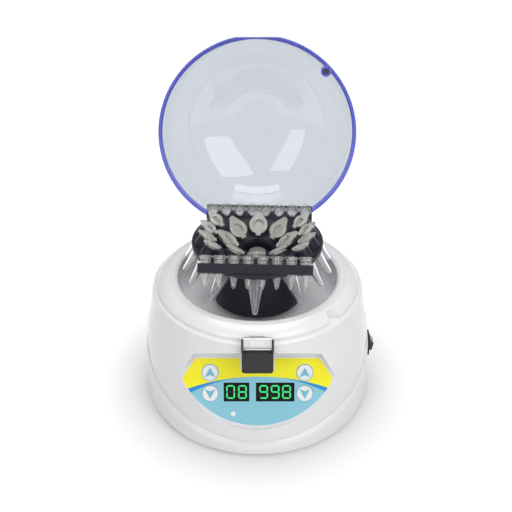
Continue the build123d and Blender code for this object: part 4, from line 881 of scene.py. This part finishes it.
class CENTRIFUGE_OT_shells(bpy.types.Operator):
    """Finish the base, the housing and the chamber bowl"""
    bl_idname = "centrifuge.shells"
    bl_label = "Shells"

    def execute(self, context):
        looks = context.scene.centrifuge_shells
        paint(gloss_moulding("housing_white", looks.housing_colour), "upper_housing")
        paint(gloss_moulding("base_white", looks.base_colour, 0.18), "base_shell")
        paint(satin_moulding("bowl_grey", looks.bowl_colour, 0.3, 0.8, 0.012), "chamber_bowl")
        return {"FINISHED"}


class CENTRIFUGE_OT_lid(bpy.types.Operator):
    """Make the clear lid and finish its magnet and the pins"""
    bl_idname = "centrifuge.lid"
    bl_label = "Lid"

    def execute(self, context):
        clear = lid_plastic("lid_clear", context.scene.centrifuge_lid)
        bm = bmesh.new()
        leaning_lid(bm)
        lid = add_piece("lid_shell", bm, clear, "lid")
        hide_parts("lid_dome")
        paint(turned_metal("magnet_nickel", (0.34, 0.34, 0.37)), "lid_magnet")
        steel = brushed_metal("pin_steel", (0.74, 0.74, 0.75), (0.04, 1.0, 1.0))
        paint(steel, "hinge_pin", "latch_pin")
        return {"FINISHED"}


class CENTRIFUGE_OT_label(bpy.types.Operator):
    """Print the keypad film and finish the lamp, the keys and the displays"""
    bl_idname = "centrifuge.label"
    bl_label = "Keypad film"

    def execute(self, context):
        looks = context.scene.centrifuge_panel
        paint(label_print("film_print", looks), "panel_overlay")
        paint(gloss_moulding("key_white", (0.955, 0.96, 0.965), 0.14, 0.004), *KEYS)
        paint(gloss_moulding("lamp_white", (0.965, 0.97, 0.97), 0.1, 0.002), "indicator_lens")
        black = gloss_moulding("display_black", (0.02, 0.02, 0.02), 0.14, 0.003, 0.0)
        paint(black, "display_speed", "display_time")
        return {"FINISHED"}


class CENTRIFUGE_OT_key_marks(bpy.types.Operator):
    """Make the arrowheads on the keys"""
    bl_idname = "centrifuge.key_marks"
    bl_label = "Key marks"

    def execute(self, context):
        looks = context.scene.centrifuge_panel
        ink = satin_moulding("mark_ink", looks.mark_colour, 0.35, 0.6, 0.006)
        for key, (u, v, way) in KEYS.items():
            bm = bmesh.new()
            prism(bm, arrowhead(u, v, way), KEY_TOP - MARK_SUNK, KEY_TOP + MARK_RISE, MARK_EDGE)
            add_piece(key.replace("button", "arrow"), bm, ink, key, panel_matrix())
        return {"FINISHED"}


class CENTRIFUGE_OT_digits(bpy.types.Operator):
    """Make the lit and unlit strokes of both displays"""
    bl_idname = "centrifuge.digits"
    bl_label = "Digits"

    def execute(self, context):
        looks = context.scene.centrifuge_panel
        lit = glow("segment_lit", looks.digit_colour, looks.digit_strength)
        unlit = satin_moulding("segment_unlit", (0.13, 0.14, 0.16), 0.3, 0.6, 0.004)
        low = DISPLAY_TOP - SEGMENT_SUNK
        high = DISPLAY_TOP + SEGMENT_RISE
        for name, text in (("speed", looks.speed_shown), ("time", looks.time_shown)):
            places = DIGIT_PLACES[name]
            if len(text) != len(places) or not text.isdigit():
                raise ValueError(f"the {name} display shows {len(places)} digits, not {text!r}")
            bright = bmesh.new()
            dark = bmesh.new()
            for digit, u in zip(text, places):
                for letter, outline in segment_outlines(u, DIGIT_V).items():
                    prism(bright if letter in LIT[digit] else dark, outline, low, high, SEGMENT_EDGE)
            for bm, kind, material in ((bright, "lit", lit), (dark, "unlit", unlit)):
                if bm.verts:
                    add_piece(f"digits_{name}_{kind}", bm, material, "housing",
                              panel_matrix())
                else:
                    bm.free()
        return {"FINISHED"}


class CENTRIFUGE_OT_latch(bpy.types.Operator):
    """Make the pressed latch plate and finish the latch"""
    bl_idname = "centrifuge.latch"
    bl_label = "Latch"

    def execute(self, context):
        upright_marks = (1.0, 1.0, 0.05)
        bm = bmesh.new()
        latch_plate(bm)
        steel = brushed_metal("latch_steel", (0.90, 0.90, 0.91), upright_marks, 0.3)
        plate = add_piece("latch_plate", bm, steel, "latch")
        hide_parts("latch_hook")
        bm = bmesh.new()
        latch_pad(bm)
        # The pad's steel is a lighter copy of the plate's steel: a painted highlight where the pressed pad
        # catches the light.
        bright = brushed_metal("pad_steel_painted_highlight", (0.93, 0.93, 0.94), upright_marks, 0.34)
        upright = Matrix.Translation((0.0, PLATE_FRONT_Y, PAD_Z)) @ Matrix.Rotation(pi / 2, 4, "X")
        add_piece("latch_pad", bm, bright, "latch", upright)
        paint(satin_moulding("latch_black", (0.11, 0.11, 0.115), 0.4, 0.35, 0.02), "latch_button")
        paint(brushed_metal("spring_steel", (0.66, 0.66, 0.67), (0.1, 1.0, 1.0)), "latch_spring")
        return {"FINISHED"}


class CENTRIFUGE_OT_rotor(bpy.types.Operator):
    """Finish the rotor, its nut, the adapter and the shaft"""
    bl_idname = "centrifuge.rotor"
    bl_label = "Rotor"

    def execute(self, context):
        looks = context.scene.centrifuge_rotor
        paint(satin_moulding("rotor_black", looks.rotor_colour, 0.36, 0.5, 0.02, 0.25), "rotor")
        paint(turned_metal("nut_metal", (0.58, 0.61, 0.57), roughness=0.4), "rotor_nut", "shaft_adapter")
        paint(turned_metal("shaft_steel", (0.72, 0.72, 0.73)), "motor_shaft")
        return {"FINISHED"}


def flip_tubes(looks, kind, size, hang, angles, wall):
    """Makes a hollow tube and a flip cap for each angle round the rotor."""
    clear = milky_moulding(f"{kind}_tube_clear", looks.tube_colour, 0.08, 0.94, 1.27)
    milky = milky_moulding(f"{kind}_cap_milky", looks.cap_colour, 0.3, 0.76)
    for number, angle in enumerate(angles, 1):
        place = tube_matrix(*hang, angle)
        for part, shape, plastic in (("tube", open_tube, clear), ("cap", flip_cap, milky)):
            bm = bmesh.new()
            shape(bm, size, wall)
            piece = add_piece(f"{kind}_{part}_{number}", bm, plastic, "rotor", place)
            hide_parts(f"{kind}_tubes")


class CENTRIFUGE_OT_large_tubes(bpy.types.Operator):
    """Make the eight large tubes with flip caps"""
    bl_idname = "centrifuge.large_tubes"
    bl_label = "Large tubes"

    def execute(self, context):
        looks = context.scene.centrifuge_rotor
        flip_tubes(looks, "large", LARGE_TUBE, LARGE_HANG, LARGE_ANGLES, looks.tube_wall)
        return {"FINISHED"}


class CENTRIFUGE_OT_small_tubes(bpy.types.Operator):
    """Make the eight small tubes with flip caps"""
    bl_idname = "centrifuge.small_tubes"
    bl_label = "Small tubes"

    def execute(self, context):
        looks = context.scene.centrifuge_rotor
        wall = looks.tube_wall * SMALL_WALL_SHARE
        flip_tubes(looks, "small", SMALL_TUBE, SMALL_HANG, SMALL_ANGLES, wall)
        return {"FINISHED"}


class CENTRIFUGE_OT_tube_strips(bpy.types.Operator):
    """Make the two strips of small clear tubes"""
    bl_idname = "centrifuge.tube_strips"
    bl_label = "Tube strips"

    def execute(self, context):
        looks = context.scene.centrifuge_rotor
        plastic = milky_moulding("strip_cloudy", looks.strip_colour, 0.05, 0.93, 1.12)
        for side, angle in (("front", -pi / 2), ("rear", pi / 2)):
            place = tube_matrix(*STRIP_HANG, angle)
            bm = bmesh.new()
            strip_tubes(bm, STRIP_WALL)
            strip = add_piece(f"tube_strip_{side}", bm, plastic, "rotor", place)
            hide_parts(f"pcr_strip_{side}")
        return {"FINISHED"}


class CENTRIFUGE_OT_fittings(bpy.types.Operator):
    """Finish the switch, the socket, the feet, the screws and what is inside"""
    bl_idname = "centrifuge.fittings"
    bl_label = "Fittings"

    def execute(self, context):
        paint(satin_moulding("switch_black", (0.11, 0.11, 0.115), 0.38, 0.4), "switch_bezel")
        paint(gloss_moulding("rocker_black", (0.09, 0.09, 0.095), 0.24, 0.01), "switch_rocker")
        paint(jack_finish("jack_black"), "dc_jack")
        paint(rubber("foot_rubber", (0.13, 0.13, 0.13)), "rubber_feet", "motor_mounts")
        paint(brushed_metal("screw_steel", (0.66, 0.66, 0.67), (1.0, 1.0, 0.3)),
              "base_screws", "bowl_screws", "motor_screws", "board_screws")
        paint(circuit_board("board_green", (0.09, 0.32, 0.19)), "control_board", "power_board")
        paint(satin_moulding("component_dark", (0.12, 0.12, 0.12), 0.4), "tact_switches", "lid_sensor")
        paint(brushed_metal("plate_steel", (0.70, 0.70, 0.71), (0.05, 1.0, 1.0)), "motor_plate")
        paint(turned_metal("motor_steel", (0.60, 0.61, 0.62)), "motor_can", "motor_end_cap")
        paint(turned_metal("bronze", (0.74, 0.58, 0.36), 0.5, 0.36), "motor_bearings")
        paint(satin_moulding("ferrite", (0.2, 0.2, 0.21), 0.5, 0.8), "motor_magnets")
        paint(brushed_metal("armature_steel", (0.52, 0.46, 0.42), (0.3, 0.3, 4.0)), "motor_armature")
        return {"FINISHED"}


def lamp(name, place, sides, power):
    """Adds a soft rectangular lamp that looks at the object."""
    data = bpy.data.lights.new(name, "AREA")
    data.shape = "RECTANGLE"
    data.size, data.size_y = sides
    data.energy = power
    lit = bpy.data.objects.new(name, data)
    lit.location = place
    lit.rotation_euler = (Vector(LAMP_TARGET) - Vector(place)).to_track_quat("-Z", "Y").to_euler()
    bpy.context.scene.collection.objects.link(lit)


class CENTRIFUGE_OT_stage(bpy.types.Operator):
    """Make the floor, the light and the camera"""
    bl_idname = "centrifuge.stage"
    bl_label = "Stage"

    def execute(self, context):
        looks = context.scene.centrifuge_stage
        context.scene.view_settings.view_transform = "Standard"
        self.make_floor(context.scene, looks)
        self.make_sky(context.scene, looks)
        for name, (place, sides, share) in LAMPS.items():
            lamp(name, place, sides, looks.lamp_power * share)
        self.make_camera(context.scene)
        return {"FINISHED"}

    def make_floor(self, scene, looks):
        """Round floor that keeps the object's shadow near it and fades to white farther out."""
        bm = bmesh.new()
        bmesh.ops.create_circle(bm, cap_ends=True, segments=FLOOR_SIDES, radius=FLOOR_R)
        bmesh.ops.translate(bm, verts=bm.verts, vec=(0.0, 0.0, FLOOR_Z))
        bmesh.ops.scale(bm, vec=(MM, MM, MM), verts=bm.verts)
        mesh = bpy.data.meshes.new("floor")
        bm.to_mesh(mesh)
        bm.free()
        finish = Finish("floor_paint", looks.floor_colour, specular_ior_level=0.1)
        finish.shade(roughness=0.6 + 0.2 * finish.noise(40.0, 3.0))
        x, y, _ = finish.axes()
        far = (x * x + y * y).root().above(SHADOW_R, SHADOW_BLUR)
        light = finish.mix(far, WHITE, FLOOR_FAR)
        white = finish.node("ShaderNodeEmission", None, {"Color": light, "Strength": FLOOR_GLOW})
        seen = finish.seen_by("Camera", "Glossy", "Transmission")
        glowing = seen * (SHADOW_LIFT + (1 - SHADOW_LIFT) * far)
        finish.blend(glowing, finish.surface, white, "Material Output")
        mesh.materials.append(finish.material)
        floor = bpy.data.objects.new("floor", mesh)
        scene.collection.objects.link(floor)

    def make_sky(self, scene, looks):
        """Even light, with a white background for the camera and for clear plastic."""
        world = bpy.data.worlds.new("sky")
        world.use_nodes = True
        sky = Nodes(world.node_tree)
        even = world.node_tree.nodes["Background"]
        sky.set(even, "Color", (*WHITE, 1.0))
        sky.set(even, "Strength", looks.sky)
        white = sky.node("ShaderNodeBackground", None, {"Color": (*WHITE, 1.0)})
        sky.blend(sky.seen_by("Camera", "Transmission"), even, white, "World Output")
        scene.world = world

    def make_camera(self, scene):
        """Camera that looks at the object as the photograph does."""
        data = bpy.data.cameras.new("camera")
        data.lens = CAMERA_LENS
        data.sensor_width = CAMERA_SENSOR
        data.clip_start = 0.01
        camera = bpy.data.objects.new("camera", data)
        camera.location = Vector(CAMERA_PLACE) * MM
        camera.rotation_euler = (CAMERA_PITCH, 0.0, 0.0)
        scene.collection.objects.link(camera)
        scene.camera = camera


GROUPS = {
    "centrifuge_shells": ShellLooks,
    "centrifuge_lid": LidLooks,
    "centrifuge_panel": PanelLooks,
    "centrifuge_rotor": RotorLooks,
    "centrifuge_stage": StageLooks,
}
STEPS = (
    CENTRIFUGE_OT_stage,
    CENTRIFUGE_OT_shells,
    CENTRIFUGE_OT_lid,
    CENTRIFUGE_OT_label,
    CENTRIFUGE_OT_key_marks,
    CENTRIFUGE_OT_digits,
    CENTRIFUGE_OT_latch,
    CENTRIFUGE_OT_rotor,
    CENTRIFUGE_OT_large_tubes,
    CENTRIFUGE_OT_small_tubes,
    CENTRIFUGE_OT_tube_strips,
    CENTRIFUGE_OT_fittings,
)


class CENTRIFUGE_PT_sidebar(bpy.types.Panel):
    """Lists the pieces of the centrifuge"""
    bl_idname = "CENTRIFUGE_PT_sidebar"
    bl_label = "Centrifuge"
    bl_space_type = "VIEW_3D"
    bl_region_type = "UI"
    bl_category = "Centrifuge"

    def draw(self, context):
        for group, kind in GROUPS.items():
            box = self.layout.box()
            for prop in kind.__annotations__:
                box.prop(getattr(context.scene, group), prop)
        for step in STEPS:
            self.layout.operator(step.bl_idname)


def register():
    """Adds the property groups, the operators and the panel."""
    for kind in (*GROUPS.values(), *STEPS, CENTRIFUGE_PT_sidebar):
        bpy.utils.register_class(kind)
    for group, kind in GROUPS.items():
        setattr(bpy.types.Scene, group, PointerProperty(type=kind))


def unregister():
    """Takes them away again, in the opposite order."""
    for group in GROUPS:
        delattr(bpy.types.Scene, group)
    for kind in (CENTRIFUGE_PT_sidebar, *reversed(STEPS), *reversed(list(GROUPS.values()))):
        bpy.utils.unregister_class(kind)


def main():
    register()
    for step in STEPS:
        group, name = step.bl_idname.split(".")
        getattr(getattr(bpy.ops, group), name)()


if __name__ == "__main__":
    main()
